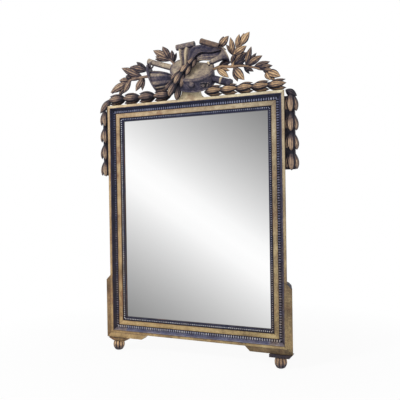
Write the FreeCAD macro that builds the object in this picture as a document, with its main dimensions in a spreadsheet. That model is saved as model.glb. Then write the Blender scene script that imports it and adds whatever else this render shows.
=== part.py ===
import FreeCAD, Part
import math
import os

import Sketcher
from FreeCAD import Placement, Rotation, Vector

# Carved giltwood wall mirror with a music trophy crest, in millimetres.
# Origin: on the wall, behind the middle of the glass. X is right, Y goes into the wall, Z is up.

doc = FreeCAD.newDocument("giltwood_mirror")
sheet = doc.addObject("Spreadsheet::Sheet", "dims")

DIMENSIONS = (
    ("sight_width", 690, "width of the visible glass"),
    ("sight_height", 900, "height of the visible glass"),
    ("moulding_width", 74, "width of a rail, outer edge to sight edge"),
    ("frame_depth", 40, "depth of a rail"),
    ("side_edge", 5, "square part of the frame's sides, behind the front"),
    ("side_bevel", 12, "frame's sides slope in by this towards the wall"),
    ("fillet_width", 12, "gilt flat along the outer edge"),
    ("cove_width", 25, "bed of the cove moulding"),
    ("cove_height", 26, "bed of the cove moulding above the back of the rail"),
    ("cove_radius", 10, "hollow of the cove"),
    ("cove_lip", 2.5, "flat between the fillet and the hollow"),
    ("bead_radius", 5.5, "outer bead course"),
    ("bead_base", 2.5, "height of the bead course above the bed"),
    ("frieze_height", 28, "gilt frieze above the back of the rail"),
    ("frieze_width", 21, "gilt frieze"),
    ("sight_height_bed", 22, "bed of the sight moulding above the back of the rail"),
    ("sight_bead_radius", 3.5, "inner bead course"),
    ("sight_base", 3, "height of the inner bead course above the bed"),
    ("rebate_width", 10, "overlap of the rail in front of the glass"),
    ("rebate_depth", 17, "back of the rail to the glass"),
    ("glass_thickness", 5, "mirror plate"),
    ("glass_clearance", 2, "gap between the plate and the rebate wall"),
    ("board_thickness", 10, "back boards, which also set the distance from the wall"),
    ("board_lap", 24, "back boards beyond the sight edge"),
    ("board_gap", 0.6, "gap between two boards"),
    ("nail_radius", 1.2, "back board nail"),
    ("nail_length", 26, "back board nail"),
    ("nail_head_radius", 3.2, "back board nail"),
    ("nail_head_height", 1.2, "back board nail"),
    ("nail_margin", 8, "nail to the edge of the board"),
    ("block_length", 44, "glazing block"),
    ("key_length", 46, "mitre key, across the corner"),
    ("key_width", 12, "mitre key"),
    ("key_depth", 8, "mitre key, let into the back"),
    ("ear_width", 21, "ear beyond the rail"),
    ("ear_side_length", 266, "ear up the side"),
    ("ear_foot_length", 182, "ear along the bottom"),
    ("foot_block_reach", 43, "block between ear and foot, inward from the foot's axis"),
    ("left_block_set_in", 12, "left block behind the outer side of the ear"),
    ("left_block_slope", 26, "worn slope of the outer end of the left block"),
    ("right_block_set_in", 2, "right block behind the outer side of the ear"),
    ("right_block_slope", 11, "worn slope of the outer end of the right block"),
    ("foot_block_depth", 46, "block between ear and foot"),
    ("foot_block_height", 13, "block between ear and foot"),
    ("foot_inset", 33, "foot axis to the side of the frame"),
    ("foot_forward", 36, "foot axis to the wall"),
    ("foot_height", 46, "turned foot below its block"),
    ("foot_radius", 26.5, "belly of the turned foot"),
    ("foot_pad_radius", 12, "flat underside of the turned foot"),
    ("foot_neck_radius", 20, "neck of the turned foot"),
    ("lobe_cut_radius", 5, "hollow between two lobes of the foot"),
    ("foot_lobes", 10, "number of lobes"),
    ("tenon_radius", 7.5, "tenon of the foot"),
    ("tenon_length", 31, "tenon of the foot"),
    ("hanger_height", 280, "ring axis above the middle of the glass"),
    ("strap_width", 16, "hanger strap"),
    ("strap_length", 62, "hanger strap above the ring axis"),
    ("strap_thickness", 2, "hanger strap"),
    ("knuckle_radius", 4.2, "rolled end of the strap"),
    ("ring_clearance", 0.25, "ring in the rolled end, and rolled end off the wood"),
    ("ring_wire_radius", 2, "hanging ring"),
    ("ring_bow_radius", 15, "hanging ring"),
    ("screw_radius", 1.75, "hanger screw"),
    ("screw_length", 20, "hanger screw"),
    ("screw_head_radius", 3.4, "hanger screw"),
    ("screw_head_height", 1.8, "hanger screw"),
    ("batten_width", 52, "batten behind the crest"),
    ("batten_lap", 42, "batten down the back of the top rail"),
    ("batten_rise", 126, "batten above the top rail"),
    ("batten_screw_radius", 2.5, "batten screw"),
    ("batten_screw_length", 34, "batten screw"),
    ("batten_screw_head", 5, "batten screw head radius"),
    ("dowel_radius", 5, "dowel under the plinth"),
    ("dowel_length", 44, "dowel under the plinth"),
    ("dowel_spread", 30, "dowel to the middle of the plinth"),
    ("plinth_base_width", 112, "plinth on the top rail"),
    ("plinth_neck_width", 78, "plinth under the drum"),
    ("plinth_depth", 34, "plinth"),
    ("plinth_height", 100, "plinth before the drum is let in"),
    ("drum_half_width", 100, "skin of the tambourine"),
    ("drum_half_breadth", 77, "skin of the tambourine"),
    ("drum_shell", 56, "shell of the tambourine"),
    ("drum_tilt", 50, "skin leaning to the front, degrees"),
    ("drum_roll", 12, "skin leaning to the right, degrees"),
    ("drum_right", 8, "middle of the skin"),
    ("drum_forward", 38, "middle of the skin to the wall"),
    ("drum_rise", 134, "middle of the skin above the top rail"),
    ("hoop_height", 9, "hoops of the tambourine"),
    ("hoop_thickness", 2.5, "hoops of the tambourine"),
    ("boss_radius", 13, "carved boss on the shell of the tambourine"),
    ("jingle_radius", 6.5, "jingle in the slot of the tambourine"),
    ("slot_height", 17, "slot in the shell of the tambourine"),
    ("slot_width", 30, "slot in the shell of the tambourine"),
    ("horn_length", 88, "horn"),
    ("horn_bell_radius", 37, "horn"),
    ("horn_tip_radius", 8, "horn"),
    ("flute_length", 420, "flute"),
    ("flute_radius", 12.5, "flute"),
    ("loop_radius", 15, "cord that ties the lute to the flute"),
    ("loop_cord_radius", 3.6, "cord that ties the lute to the flute"),
    ("score_roll_radius", 10, "rolled edge of the music score"),
    ("score_flute_radius", 6.5, "swelling fold of the left page"),
    ("leaf_thickness", 12, "leaf of a branch"),
    ("stem_radius", 5, "stem of a branch"),
    ("garland_leaf_width", 32, "leaf of the garlands and drops"),
    ("garland_leaf_thickness", 20, "leaf of the garlands and drops"),
    ("garland_height", 30, "middle line of the garlands above the top rail"),
    ("garland_strip_width", 18, "strip that the leaves of a garland are carved on"),
    ("strip_thickness", 14, "strip that the leaves of a garland or a drop are carved on"),
    ("drop_strip_reach", 14, "strip of a drop beyond its middle line"),
    ("drop_offset", 23, "middle line of the drops beyond the side"),
    ("drop_length", 312, "drop down the side"),
    ("pin_radius", 3, "pin through a drop"),
    ("pin_length", 34, "pin through a drop"),
)

for row, (alias, value, note) in enumerate(DIMENSIONS, 1):
    sheet.set(f"A{row}", note)
    sheet.set(f"B{row}", str(value))
    sheet.setAlias(f"B{row}", alias)
doc.recompute()


class Size:
    """A size from the sheet: its value now, and the formula that keeps it current."""

    def __init__(self, value, formula):
        self.value = value
        self.formula = formula

    def join(self, sign, value, other):
        return Size(value, f"({self.formula} {sign} {other.formula})")

    def __add__(self, other):
        other = as_size(other)
        return self.join("+", self.value + other.value, other)

    def __sub__(self, other):
        other = as_size(other)
        return self.join("-", self.value - other.value, other)

    def __mul__(self, other):
        other = as_size(other)
        return self.join("*", self.value * other.value, other)

    def __truediv__(self, other):
        other = as_size(other)
        return self.join("/", self.value / other.value, other)

    def __neg__(self):
        return Size(-self.value, f"(-{self.formula})")


def as_size(number):
    if isinstance(number, Size):
        return number
    return Size(float(number), f"({float(number)})")


def dim(alias):
    return Size(float(sheet.get(alias)), f"dims.{alias}")


def plain(alias):
    return float(sheet.get(alias))


# Places that many pieces share.
half_sight_x = dim("sight_width") / 2
half_sight_z = dim("sight_height") / 2
half_frame_x = half_sight_x + dim("moulding_width")
half_frame_z = half_sight_z + dim("moulding_width")
frame_back = -dim("board_thickness")
glass_front = frame_back - dim("rebate_depth")
glass_back = glass_front + dim("glass_thickness")
rebate_wall_x = half_sight_x + dim("rebate_width")
rebate_wall_z = half_sight_z + dim("rebate_width")
board_edge_x = half_sight_x + dim("board_lap")
board_edge_z = half_sight_z + dim("board_lap")

RIGHT = Vector(1, 0, 0)
LEFT = Vector(-1, 0, 0)
UP = Vector(0, 0, 1)
DOWN = Vector(0, 0, -1)
FRONT = Vector(0, -1, 0)
BACK = Vector(0, 1, 0)

pieces = []


def keep(label, obj):
    """Names a finished piece and lists it for writing."""
    obj.Label = label
    pieces.append(obj)
    return obj


def bind(obj, name, size):
    obj.setExpression(name, as_size(size).formula)


def place(obj, x, y, z, rotation=Rotation()):
    obj.Placement = Placement(Vector(), rotation)
    for axis, size in zip("xyz", (x, y, z)):
        bind(obj, f"Placement.Base.{axis}", size)
    return obj


def box(name, corner, sizes):
    obj = doc.addObject("Part::Box", name)
    for prop, size in zip(("Length", "Width", "Height"), sizes):
        bind(obj, prop, size)
    return place(obj, *corner)


def rod(name, radius, length, start, direction):
    """A round bar from start along direction."""
    obj = doc.addObject("Part::Cylinder", name)
    bind(obj, "Radius", radius)
    bind(obj, "Height", length)
    return place(obj, *start, Rotation(UP, direction))


def cone(name, radius, end_radius, length, start, direction):
    obj = doc.addObject("Part::Cone", name)
    bind(obj, "Radius1", radius)
    bind(obj, "Radius2", end_radius)
    bind(obj, "Height", length)
    return place(obj, *start, Rotation(UP, direction))


def ball(name, radius, centre):
    obj = doc.addObject("Part::Sphere", name)
    bind(obj, "Radius", radius)
    return place(obj, *centre)


def gather(name, objects):
    obj = doc.addObject("Part::Compound", name)
    obj.Links = objects
    return obj


def join(name, objects):
    obj = doc.addObject("Part::MultiFuse", name)
    obj.Shapes = objects
    return obj


def cut(name, base, tools):
    obj = doc.addObject("Part::Cut", name)
    obj.Base = base
    obj.Tool = tools[0] if len(tools) == 1 else gather(name + "_tools", tools)
    return obj


def body_sketch(body, role, name):
    sketch = body.newObject("Sketcher::SketchObject", name)
    origin_plane = next(f for f in body.Origin.OriginFeatures if f.Role == role)
    sketch.AttachmentSupport = [(origin_plane, "")]
    sketch.MapMode = "FlatFace"
    return sketch


def fix_point(sketch, geometry, end, x, y):
    """Ties one point of a sketch to sizes of the sheet."""
    for kind, axis, size in (("DistanceX", -2, as_size(x)), ("DistanceY", -1, as_size(y))):
        if size.value == 0:
            sketch.addConstraint(Sketcher.Constraint("PointOnObject", geometry, end, axis))
        else:
            rule = Sketcher.Constraint(kind, -1, 1, geometry, end, size.value)
            number = sketch.addConstraint(rule)
            sketch.setExpression(f"Constraints[{number}]", size.formula)


def outline(sketch, corners):
    """Draws a closed outline of lines and arcs.

    A corner is (x, y), or (x, y, (centre y, turn)) where the side after it is an arc with its
    centre at that height, anticlockwise for turn 1 and clockwise for turn -1.
    """
    points = [Vector(as_size(c[0]).value, as_size(c[1]).value, 0) for c in corners]
    sides = []
    for i, corner in enumerate(corners):
        start = points[i]
        end = points[(i + 1) % len(points)]
        if len(corner) == 2:
            geometry = sketch.addGeometry(Part.LineSegment(start, end))
            sides.append((geometry, 1, 2))
            continue
        centre_y, turn = as_size(corner[2][0]).value, corner[2][1]
        squares = end.x ** 2 - start.x ** 2 + end.y ** 2 - start.y ** 2
        centre_x = (squares - 2 * centre_y * (end.y - start.y)) / (2 * (end.x - start.x))
        centre = Vector(centre_x, centre_y, 0)
        first, last = (start, end) if turn > 0 else (end, start)
        angle_from = math.atan2(first.y - centre.y, first.x - centre.x)
        angle_to = math.atan2(last.y - centre.y, last.x - centre.x)
        circle = Part.Circle(centre, UP, (start - centre).Length)
        geometry = sketch.addGeometry(Part.ArcOfCircle(circle, angle_from, angle_to))
        sides.append((geometry, 1, 2) if turn > 0 else (geometry, 2, 1))
    for i, (geometry, start_end, far_end) in enumerate(sides):
        after, after_start, _ = sides[(i + 1) % len(sides)]
        sketch.addConstraint(Sketcher.Constraint("Coincident", geometry, far_end, after, after_start))
    for i, (geometry, start_end, far_end) in enumerate(sides):
        fix_point(sketch, geometry, start_end, corners[i][0], corners[i][1])
        if len(corners[i]) == 3:
            centre_y = as_size(corners[i][2][0])
            rule = Sketcher.Constraint("DistanceY", -1, 1, geometry, 3, centre_y.value)
            number = sketch.addConstraint(rule)
            sketch.setExpression(f"Constraints[{number}]", centre_y.formula)
    return sketch


def pad(body, sketch, length, name):
    feature = body.newObject("PartDesign::Pad", name)
    feature.Profile = sketch
    bind(feature, "Length", length)
    return feature


# Frame: four mitred rails, and two mitred mouldings let into each.
# A side's own X runs inward from the outer edge, its Y runs forward, its Z runs along the side.
SIDES = {
    "top": (DOWN, LEFT, half_frame_x * 2, (half_frame_x, frame_back, half_frame_z)),
    "bottom": (UP, RIGHT, half_frame_x * 2, (-half_frame_x, frame_back, -half_frame_z)),
    "left": (RIGHT, DOWN, half_frame_z * 2, (-half_frame_x, frame_back, half_frame_z)),
    "right": (LEFT, UP, half_frame_z * 2, (half_frame_x, frame_back, -half_frame_z)),
}

cove_end = dim("fillet_width") + dim("cove_width")
frieze_end = cove_end + dim("frieze_width")
rebate_edge = dim("moulding_width") - dim("rebate_width")
cove_top = dim("cove_height") + dim("bead_base") + dim("cove_radius")
cove_floor = dim("cove_height") + dim("bead_base")
cove_start = dim("fillet_width") + dim("cove_lip")
bead_middle = cove_end - dim("bead_radius") - dim("bead_base") / 2
sight_floor = dim("sight_height_bed") + dim("sight_base")
sight_bead_middle = frieze_end + dim("sight_bead_radius") * 2

RAIL_PROFILE = (
    (0, 0),
    (0, dim("frame_depth")),
    (dim("fillet_width"), dim("frame_depth")),
    (dim("fillet_width"), dim("cove_height")),
    (cove_end, dim("cove_height")),
    (cove_end, dim("frieze_height")),
    (frieze_end, dim("frieze_height")),
    (frieze_end, dim("sight_height_bed")),
    (dim("moulding_width"), dim("sight_height_bed")),
    (dim("moulding_width"), dim("rebate_depth")),
    (rebate_edge, dim("rebate_depth")),
    (rebate_edge, 0),
)

COVE_PROFILE = (
    (dim("fillet_width"), dim("cove_height")),
    (dim("fillet_width"), cove_top),
    (cove_start, cove_top, (cove_top, 1)),
    (cove_start + dim("cove_radius"), cove_floor),
    (bead_middle - dim("bead_radius"), cove_floor, (cove_floor, -1)),
    (bead_middle + dim("bead_radius"), cove_floor),
    (cove_end, cove_floor),
    (cove_end, dim("cove_height")),
)

SIGHT_PROFILE = (
    (frieze_end, dim("sight_height_bed")),
    (frieze_end, sight_floor),
    (sight_bead_middle - dim("sight_bead_radius"), sight_floor, (sight_floor, -1)),
    (sight_bead_middle + dim("sight_bead_radius"), sight_floor),
    (dim("moulding_width"), dim("sight_height_bed") + dim("sight_base") / 4),
    (dim("moulding_width"), dim("sight_height_bed")),
)


def mitred(name, side, profile):
    """A straight moulding of one side with both ends cut at 45 degrees."""
    inward, along, length, start = SIDES[side]
    width = dim("moulding_width")
    body = doc.addObject("PartDesign::Body", name)
    pad(body, outline(body_sketch(body, "XY_Plane", name + "_profile"), profile), length, name + "_run")
    ends = (
        ((0, 0), (width, 0), (width, width)),
        ((0, length), (width, length - width), (width, length)),
    )
    for number, corners in enumerate(ends):
        mitre = body.newObject("PartDesign::Pocket", f"{name}_mitre{number}")
        mitre.Profile = outline(body_sketch(body, "XZ_Plane", f"{name}_mitre{number}_line"), corners)
        mitre.Type = "ThroughAll"
    return place(body, *start, Rotation(inward, FRONT, along, "XYZ"))


rails = {side: mitred(f"{side}_rail_moulding", side, RAIL_PROFILE) for side in SIDES}
for side in SIDES:
    keep(f"{side}_cove_bead", mitred(f"{side}_cove", side, COVE_PROFILE))
    keep(f"{side}_sight_bead", mitred(f"{side}_sight", side, SIGHT_PROFILE))

# Glass, held in the rebate by glued blocks.
glass_x = rebate_wall_x - dim("glass_clearance")
glass_z = rebate_wall_z - dim("glass_clearance")
keep("mirror_glass", box(
    "plate", (-glass_x, glass_front, -glass_z),
    (glass_x * 2, dim("glass_thickness"), glass_z * 2)))

blocks = []
block_depth = frame_back - glass_back
for sign in (-1, 1):
    for share in (-0.6, 0, 0.6):
        middle = half_sight_z * share
        edge_x = half_sight_x if sign > 0 else -rebate_wall_x
        blocks.append(box(
            "block", (edge_x, glass_back, middle - dim("block_length") / 2),
            (dim("rebate_width"), block_depth, dim("block_length"))))
    for share in (-0.5, 0.5):
        middle = half_sight_x * share
        edge_z = half_sight_z if sign > 0 else -rebate_wall_z
        blocks.append(box(
            "block", (middle - dim("block_length") / 2, glass_back, edge_z),
            (dim("block_length"), block_depth, dim("rebate_width"))))
keep("glazing_blocks", gather("blocks", blocks))

# Back: three boards nailed to the rails, their heads flush with the boards.
nails = []


def drive_nail(x, z):
    head_floor = -dim("nail_head_height")
    head = rod("nail_head", dim("nail_head_radius"), dim("nail_head_height"), (x, head_floor, z), BACK)
    shank_length = dim("nail_length") - dim("nail_head_height")
    shank = rod("nail_shank", dim("nail_radius"), shank_length, (x, head_floor, z), FRONT)
    nails.append(join("nail", [head, shank]))


board_width = (board_edge_x * 2 - dim("board_gap") * 2) / 3
board_pitch = board_width + dim("board_gap")
nail_x = board_edge_x - dim("nail_margin")
nail_z = board_edge_z - dim("nail_margin")
for step in (-1, 0, 1):
    for share in (-0.3, 0.3):
        for sign in (-1, 1):
            drive_nail(board_pitch * step + board_width * share, nail_z * sign)
for sign in (-1, 1):
    for share in (-0.55, 0, 0.45):
        drive_nail(nail_x * sign, half_sight_z * share)
board_nails = keep("board_nails", gather("nails", nails))

for name, step in (("left", -1), ("middle", 0), ("right", 1)):
    board_left = board_pitch * step - board_width / 2
    board = box(
        f"{name}_plank", (board_left, frame_back, -board_edge_z),
        (board_width, dim("board_thickness"), board_edge_z * 2))
    keep(f"{name}_back_board", cut(f"{name}_drilled_plank", board, [board_nails]))

# Mitre keys across the back of the four corners.
keys = []
for sign_x in (-1, 1):
    for sign_z in (-1, 1):
        key = box("key", (0, 0, 0), (dim("key_length"), dim("key_depth"), dim("key_width")))
        lean = Rotation(BACK, 45 * sign_x * sign_z)
        middle = lean.multVec(Vector(plain("key_length") / 2, 0, plain("key_width") / 2))
        inset = dim("moulding_width") * 0.5
        place(
            key, (half_frame_x - inset) * sign_x - middle.x, frame_back - dim("key_depth"),
            (half_frame_z - inset) * sign_z - middle.z, lean)
        keys.append(key)
mitre_keys = keep("mitre_keys", gather("keys", keys))

# Hangers: a strap with a rolled end on each stile, a ring that swings in it, two screws.
ring_y = frame_back + dim("knuckle_radius") + dim("ring_clearance")
hanger_x = (board_edge_x + half_frame_x - dim("side_bevel")) / 2
screw_set = []
for name, sign in (("left", -1), ("right", 1)):
    x = hanger_x * sign
    strap_left = x - dim("strap_width") / 2
    plate = box(
        "strap_plate", (strap_left, frame_back, dim("hanger_height")),
        (dim("strap_width"), dim("strap_thickness"), dim("strap_length")))
    axis_start = (strap_left, ring_y, dim("hanger_height"))
    knuckle = rod("strap_roll", dim("knuckle_radius"), dim("strap_width"), axis_start, RIGHT)
    bore_radius = dim("ring_wire_radius") + dim("ring_clearance")
    bore = rod("strap_bore", bore_radius, dim("strap_width"), axis_start, RIGHT)
    screws = []
    for share in (0.5, 0.82):
        z = dim("hanger_height") + dim("strap_length") * share
        seat = frame_back + dim("strap_thickness")
        head = rod("screw_head", dim("screw_head_radius"), dim("screw_head_height"), (x, seat, z), BACK)
        shank = rod("screw_shank", dim("screw_radius"), dim("screw_length"), (x, seat, z), FRONT)
        screws.append(join("screw", [head, shank]))
    screw_set += screws
    keep(f"{name}_strap", cut("drilled_strap", join("strap", [plate, knuckle]), [bore] + screws))

    wire = dim("ring_wire_radius")
    bow_radius = dim("ring_bow_radius")
    bar = rod("ring_bar", wire, bow_radius * 2, (x - bow_radius, ring_y, dim("hanger_height")), RIGHT)
    bow = doc.addObject("Part::Torus", "ring_bow")
    bind(bow, "Radius1", bow_radius)
    bind(bow, "Radius2", wire)
    bow.Angle3 = 180
    place(bow, x, ring_y, dim("hanger_height"), Rotation(RIGHT, DOWN, BACK, "XYZ"))
    ends = [ball("ring_end", wire, (x + bow_radius * s, ring_y, dim("hanger_height"))) for s in (-1, 1)]
    keep(f"{name}_ring", join("ring", [bar, bow] + ends))
hanger_screws = keep("hanger_screws", gather("screws", screw_set))

# Ears at the lower corners, mitred where side and bottom meet.
ear = dim("ear_width")
frame_bottom = -half_frame_z
ear_top = frame_bottom + dim("ear_side_length")
ear_bottom = frame_bottom - ear
CUTTER_MARGIN = 5


def side_bevel(sign, side_x, bottom, top):
    """A cutter that slopes a side of the frame in towards the wall."""
    obj = doc.addObject("Part::Wedge", "side_bevel")
    inset = dim("side_bevel")
    if sign > 0:
        reach = (as_size(0), as_size(CUTTER_MARGIN), -inset, as_size(CUTTER_MARGIN))
    else:
        reach = (as_size(-CUTTER_MARGIN), as_size(0), as_size(-CUTTER_MARGIN), inset)
    for prop, size in zip(("Xmin", "Xmax", "X2min", "X2max"), reach):
        bind(obj, prop, size)
    bind(obj, "Ymin", as_size(0))
    bind(obj, "Ymax", dim("frame_depth") - dim("side_edge"))
    for prop, size in zip(("Zmin", "Z2min", "Zmax", "Z2max"), (0, 0, top - bottom, top - bottom)):
        bind(obj, prop, size)
    return place(obj, side_x, frame_back - dim("frame_depth") + dim("side_edge"), bottom)


def ear_piece(name, corners):
    body = doc.addObject("PartDesign::Body", name)
    sketch = outline(body_sketch(body, "XZ_Plane", name + "_outline"), corners)
    pad(body, sketch, dim("frame_depth"), name + "_thickness")
    return place(body, 0, frame_back, 0)


def turned_foot(name):
    """A bun foot with a tenon, its belly cut into lobes."""
    height = dim("foot_height")
    belly = dim("foot_radius")
    body = doc.addObject("PartDesign::Body", name)
    profile = outline(body_sketch(body, "XZ_Plane", name + "_profile"), (
        (0, 0),
        (dim("foot_pad_radius"), 0, (height * 0.48, 1)),
        (belly, height * 0.48, (height * 0.48, 1)),
        (dim("foot_neck_radius"), height * 0.86),
        (dim("foot_neck_radius"), height),
        (dim("tenon_radius"), height),
        (dim("tenon_radius"), height + dim("tenon_length")),
        (0, height + dim("tenon_length")),
    ))
    turning = body.newObject("PartDesign::Revolution", name + "_turning")
    turning.Profile = profile
    turning.ReferenceAxis = (profile, ["V_Axis"])
    turning.Angle = 360
    doc.recompute()
    hollow = body_sketch(body, "XY_Plane", name + "_hollow")
    circle = Part.Circle(Vector(plain("foot_radius") + 1, 0, 0), UP, plain("lobe_cut_radius"))
    number = hollow.addGeometry(circle)
    fix_point(hollow, number, 3, belly + dim("lobe_cut_radius") * 0.5, 0)
    rule = hollow.addConstraint(Sketcher.Constraint("Radius", number, plain("lobe_cut_radius")))
    hollow.setExpression(f"Constraints[{rule}]", dim("lobe_cut_radius").formula)
    groove = body.newObject("PartDesign::Pocket", name + "_groove")
    groove.Profile = hollow
    groove.Reversed = True
    bind(groove, "Length", height)
    ring = body.newObject("PartDesign::PolarPattern", name + "_lobes")
    ring.Originals = [groove]
    ring.Axis = (hollow, ["N_Axis"])
    ring.Angle = 360
    bind(ring, "Occurrences", dim("foot_lobes"))
    body.Tip = ring
    return body


for name, sign in (("left", -1), ("right", 1)):
    side_x = half_frame_x * sign
    outer_x = (half_frame_x + ear) * sign
    inner_x = (half_frame_x - dim("ear_foot_length")) * sign
    bevel = side_bevel(sign, outer_x, ear_bottom, ear_top)
    side_ear = ear_piece(f"{name}_side_ear_board", (
        (side_x, frame_bottom), (outer_x, ear_bottom), (outer_x, ear_top - ear), (side_x, ear_top)))
    keep(f"{name}_side_ear", cut(f"{name}_side_ear_bevelled", side_ear, [bevel]))
    bottom_ear = ear_piece(f"{name}_bottom_ear_board", (
        (side_x, frame_bottom), (outer_x, ear_bottom), (inner_x + ear * sign, ear_bottom),
        (inner_x, frame_bottom)))

    # The tenon of the foot passes through a block into the ear; the block's outer end is worn to a slope.
    foot_x = (half_frame_x - dim("foot_inset")) * sign
    block_bottom = ear_bottom - dim("foot_block_height")
    block_inner = foot_x - dim("foot_block_reach") * sign
    block_outer = outer_x - dim(f"{name}_block_set_in") * sign
    block_worn = block_outer - dim(f"{name}_block_slope") * sign
    block = doc.addObject("PartDesign::Body", f"{name}_foot_square")
    block_sketch = outline(body_sketch(block, "XZ_Plane", f"{name}_foot_square_outline"), (
        (block_inner, block_bottom), (block_worn, block_bottom), (block_outer, ear_bottom),
        (block_inner, ear_bottom)))
    pad(block, block_sketch, dim("foot_block_depth"), f"{name}_foot_square_thickness")
    place(block, 0, dim("foot_block_depth") / 2 - dim("foot_forward"), 0)
    foot = turned_foot(f"{name}_turned_foot")
    place(foot, foot_x, -dim("foot_forward"), block_bottom - dim("foot_height"))
    keep(f"{name}_foot", foot)
    keep(f"{name}_foot_block", cut(f"{name}_bored_block", block, [foot]))
    keep(f"{name}_bottom_ear", cut(f"{name}_bored_ear", bottom_ear, [foot, bevel]))

# Crest: its own frame has the origin on the wall, in the middle of the top rail's upper face.
rail_top = half_frame_z


def crest_place(obj, x, y, z, rotation=Rotation()):
    return place(obj, x, y, rail_top + z, rotation)


def carving(name, shape):
    """A carved piece drawn in the crest's frame."""
    obj = doc.addObject("Part::Feature", name)
    obj.Shape = shape
    return crest_place(obj, 0, 0, 0)


def fitted(label, blank, neighbours, chip_share=0.06):
    """The blank cut back where its neighbours stand, without the chips that this leaves."""
    doc.recompute()
    shape = blank.Shape.cut([neighbour.Shape for neighbour in neighbours])
    largest = max(solid.Volume for solid in shape.Solids)
    solids = [solid for solid in shape.Solids if solid.Volume > chip_share * largest]
    whole = solids[0] if len(solids) == 1 else Part.makeCompound(solids)
    to_crest = Placement(Vector(0, 0, -rail_top.value), Rotation())
    return keep(label, carving(label + "_fitted", whole.transformed(to_crest.toMatrix(), copy=True)))


def faceted(rings, start=None, end=None):
    """A solid with flat faces through rings of points, closed by a point or by a flat end."""
    faces = []
    for near, far in zip(rings, rings[1:]):
        for i, point in enumerate(near):
            j = (i + 1) % len(near)
            faces.append(Part.Face(Part.makePolygon([point, near[j], far[j], far[i], point])))
    for ring, point in ((rings[0], start), (rings[-1], end)):
        if point is None:
            faces.append(Part.Face(Part.makePolygon(ring + [ring[0]])))
            continue
        for i, corner in enumerate(ring):
            other = ring[(i + 1) % len(ring)]
            faces.append(Part.Face(Part.makePolygon([corner, other, point, corner])))
    solid = Part.Solid(Part.Shell(faces))
    if solid.Volume < 0:
        solid.reverse()
    return solid


LEAF_STATIONS = (0.1, 0.3, 0.55, 0.78, 0.93)


def leaf(base, tip, width, thickness, face=FRONT, bow=0.25):
    """A full leaf from base to tip, ridged along its middle and bowed towards its face."""
    run = tip - base
    along = Vector(run).normalize()
    across = along.cross(face).normalize()
    outward = across.cross(along)
    rings = []
    for t in LEAF_STATIONS:
        swell = math.sin(math.pi * t ** 0.85) ** 0.6
        middle = base + run * t + outward * (bow * thickness * 4 * t * (1 - t))
        half = across * (width / 2 * swell)
        ridge = outward * (thickness * 0.6 * swell)
        keel = outward * (thickness * -0.4 * swell)
        rings.append([middle - half, middle + ridge, middle + half, middle + keel])
    return faceted(rings, base, tip)


STEM_SIDES = 6


def stem(path, radius, end_radius):
    """A tapering six-sided stem along a path; its lengths overlap in a knot at each bend."""
    solids = []
    shrink = (radius - end_radius) / (len(path) - 1)
    angles = [2 * math.pi * k / STEM_SIDES for k in range(STEM_SIDES)]
    for i, (near, far) in enumerate(zip(path, path[1:])):
        along = (far - near).normalize()
        across = along.cross(FRONT)
        knot = along * (radius * 0.4)
        rings = []
        for end, size in ((near - knot, radius - shrink * i), (far + knot, radius - shrink * (i + 1))):
            rings.append([end + (across * math.cos(a) + FRONT * math.sin(a)) * size for a in angles])
        solids.append(faceted(rings))
    return solids


def merged(solids):
    return solids[0].multiFuse(solids[1:]).removeSplitter()


def on_crest(x, height, forward):
    return Vector(x, -forward, height)


def branch(paths, leaves, depth):
    """Stems and leaves carved from one piece; depth is the middle of the branch to the wall."""
    thickness = plain("leaf_thickness")
    radius = plain("stem_radius")
    solids = []
    for path in paths:
        solids += stem([on_crest(x, height, depth) for x, height in path], radius, radius * 0.6)
    for base_x, base_height, tip_x, tip_height, width, lift in leaves:
        base = on_crest(base_x, base_height, depth)
        tip = on_crest(tip_x, tip_height, depth + lift)
        solids.append(leaf(base, tip, width, thickness))
    return merged(solids)


def strip(near, far, half_width, front):
    """The strip that leaves are carved on, its front face that far off the wall."""
    along = (far - near).normalize()
    across = along.cross(FRONT) * half_width
    back = front - plain("strip_thickness")
    rings = []
    for end in (near, far):
        foot = Vector(end.x, 0, end.z)
        rings.append([
            foot + across + FRONT * front, foot - across + FRONT * front,
            foot - across + FRONT * back, foot + across + FRONT * back])
    return faceted(rings)


def bunch(start, end, face=FRONT, scale=1.0, spread=0.55):
    """Three overlapping leaves: one in front and one to each side of it, half behind."""
    width = plain("garland_leaf_width") * scale
    thickness = plain("garland_leaf_thickness") * scale
    run = end - start
    across = Vector(run).normalize().cross(face).normalize()
    outward = across.cross(run).normalize()
    solids = [leaf(start - run * 0.06, end, width, thickness, face)]
    for sign in (-1, 1):
        base = start - run * 0.1 - outward * (thickness * 0.35) + across * (width * 0.2 * sign)
        tip = start + run * 0.93 - outward * (thickness * 0.45) + across * (width * spread * sign)
        lean = outward + across * (0.6 * sign)
        solids.append(leaf(base, tip, width * 0.85, thickness * 0.8, lean))
    return solids


# Tambourine: a leaning oval skin whose shell is carved straight down and back, as in low relief.
skin_turn = Rotation(BACK, plain("drum_roll")) * Rotation(RIGHT, plain("drum_tilt"))
SHELL_RUN = Vector(0, 0.36, -0.93).normalize()


def drum_layer(name, extra, depth, thickness):
    """An oval slab of the drum, depth below the skin."""
    oval = doc.addObject("Part::Ellipse", name + "_oval")
    bind(oval, "MajorRadius", dim("drum_half_width") + extra)
    bind(oval, "MinorRadius", dim("drum_half_breadth") + extra)
    crest_place(
        oval, dim("drum_right") + depth * SHELL_RUN.x, -dim("drum_forward") + depth * SHELL_RUN.y,
        dim("drum_rise") + depth * SHELL_RUN.z, skin_turn)
    slab = doc.addObject("Part::Extrusion", name)
    slab.Base = oval
    slab.DirMode = "Custom"
    slab.Dir = SHELL_RUN
    slab.Solid = True
    bind(slab, "LengthFwd", thickness)
    return slab


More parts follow.
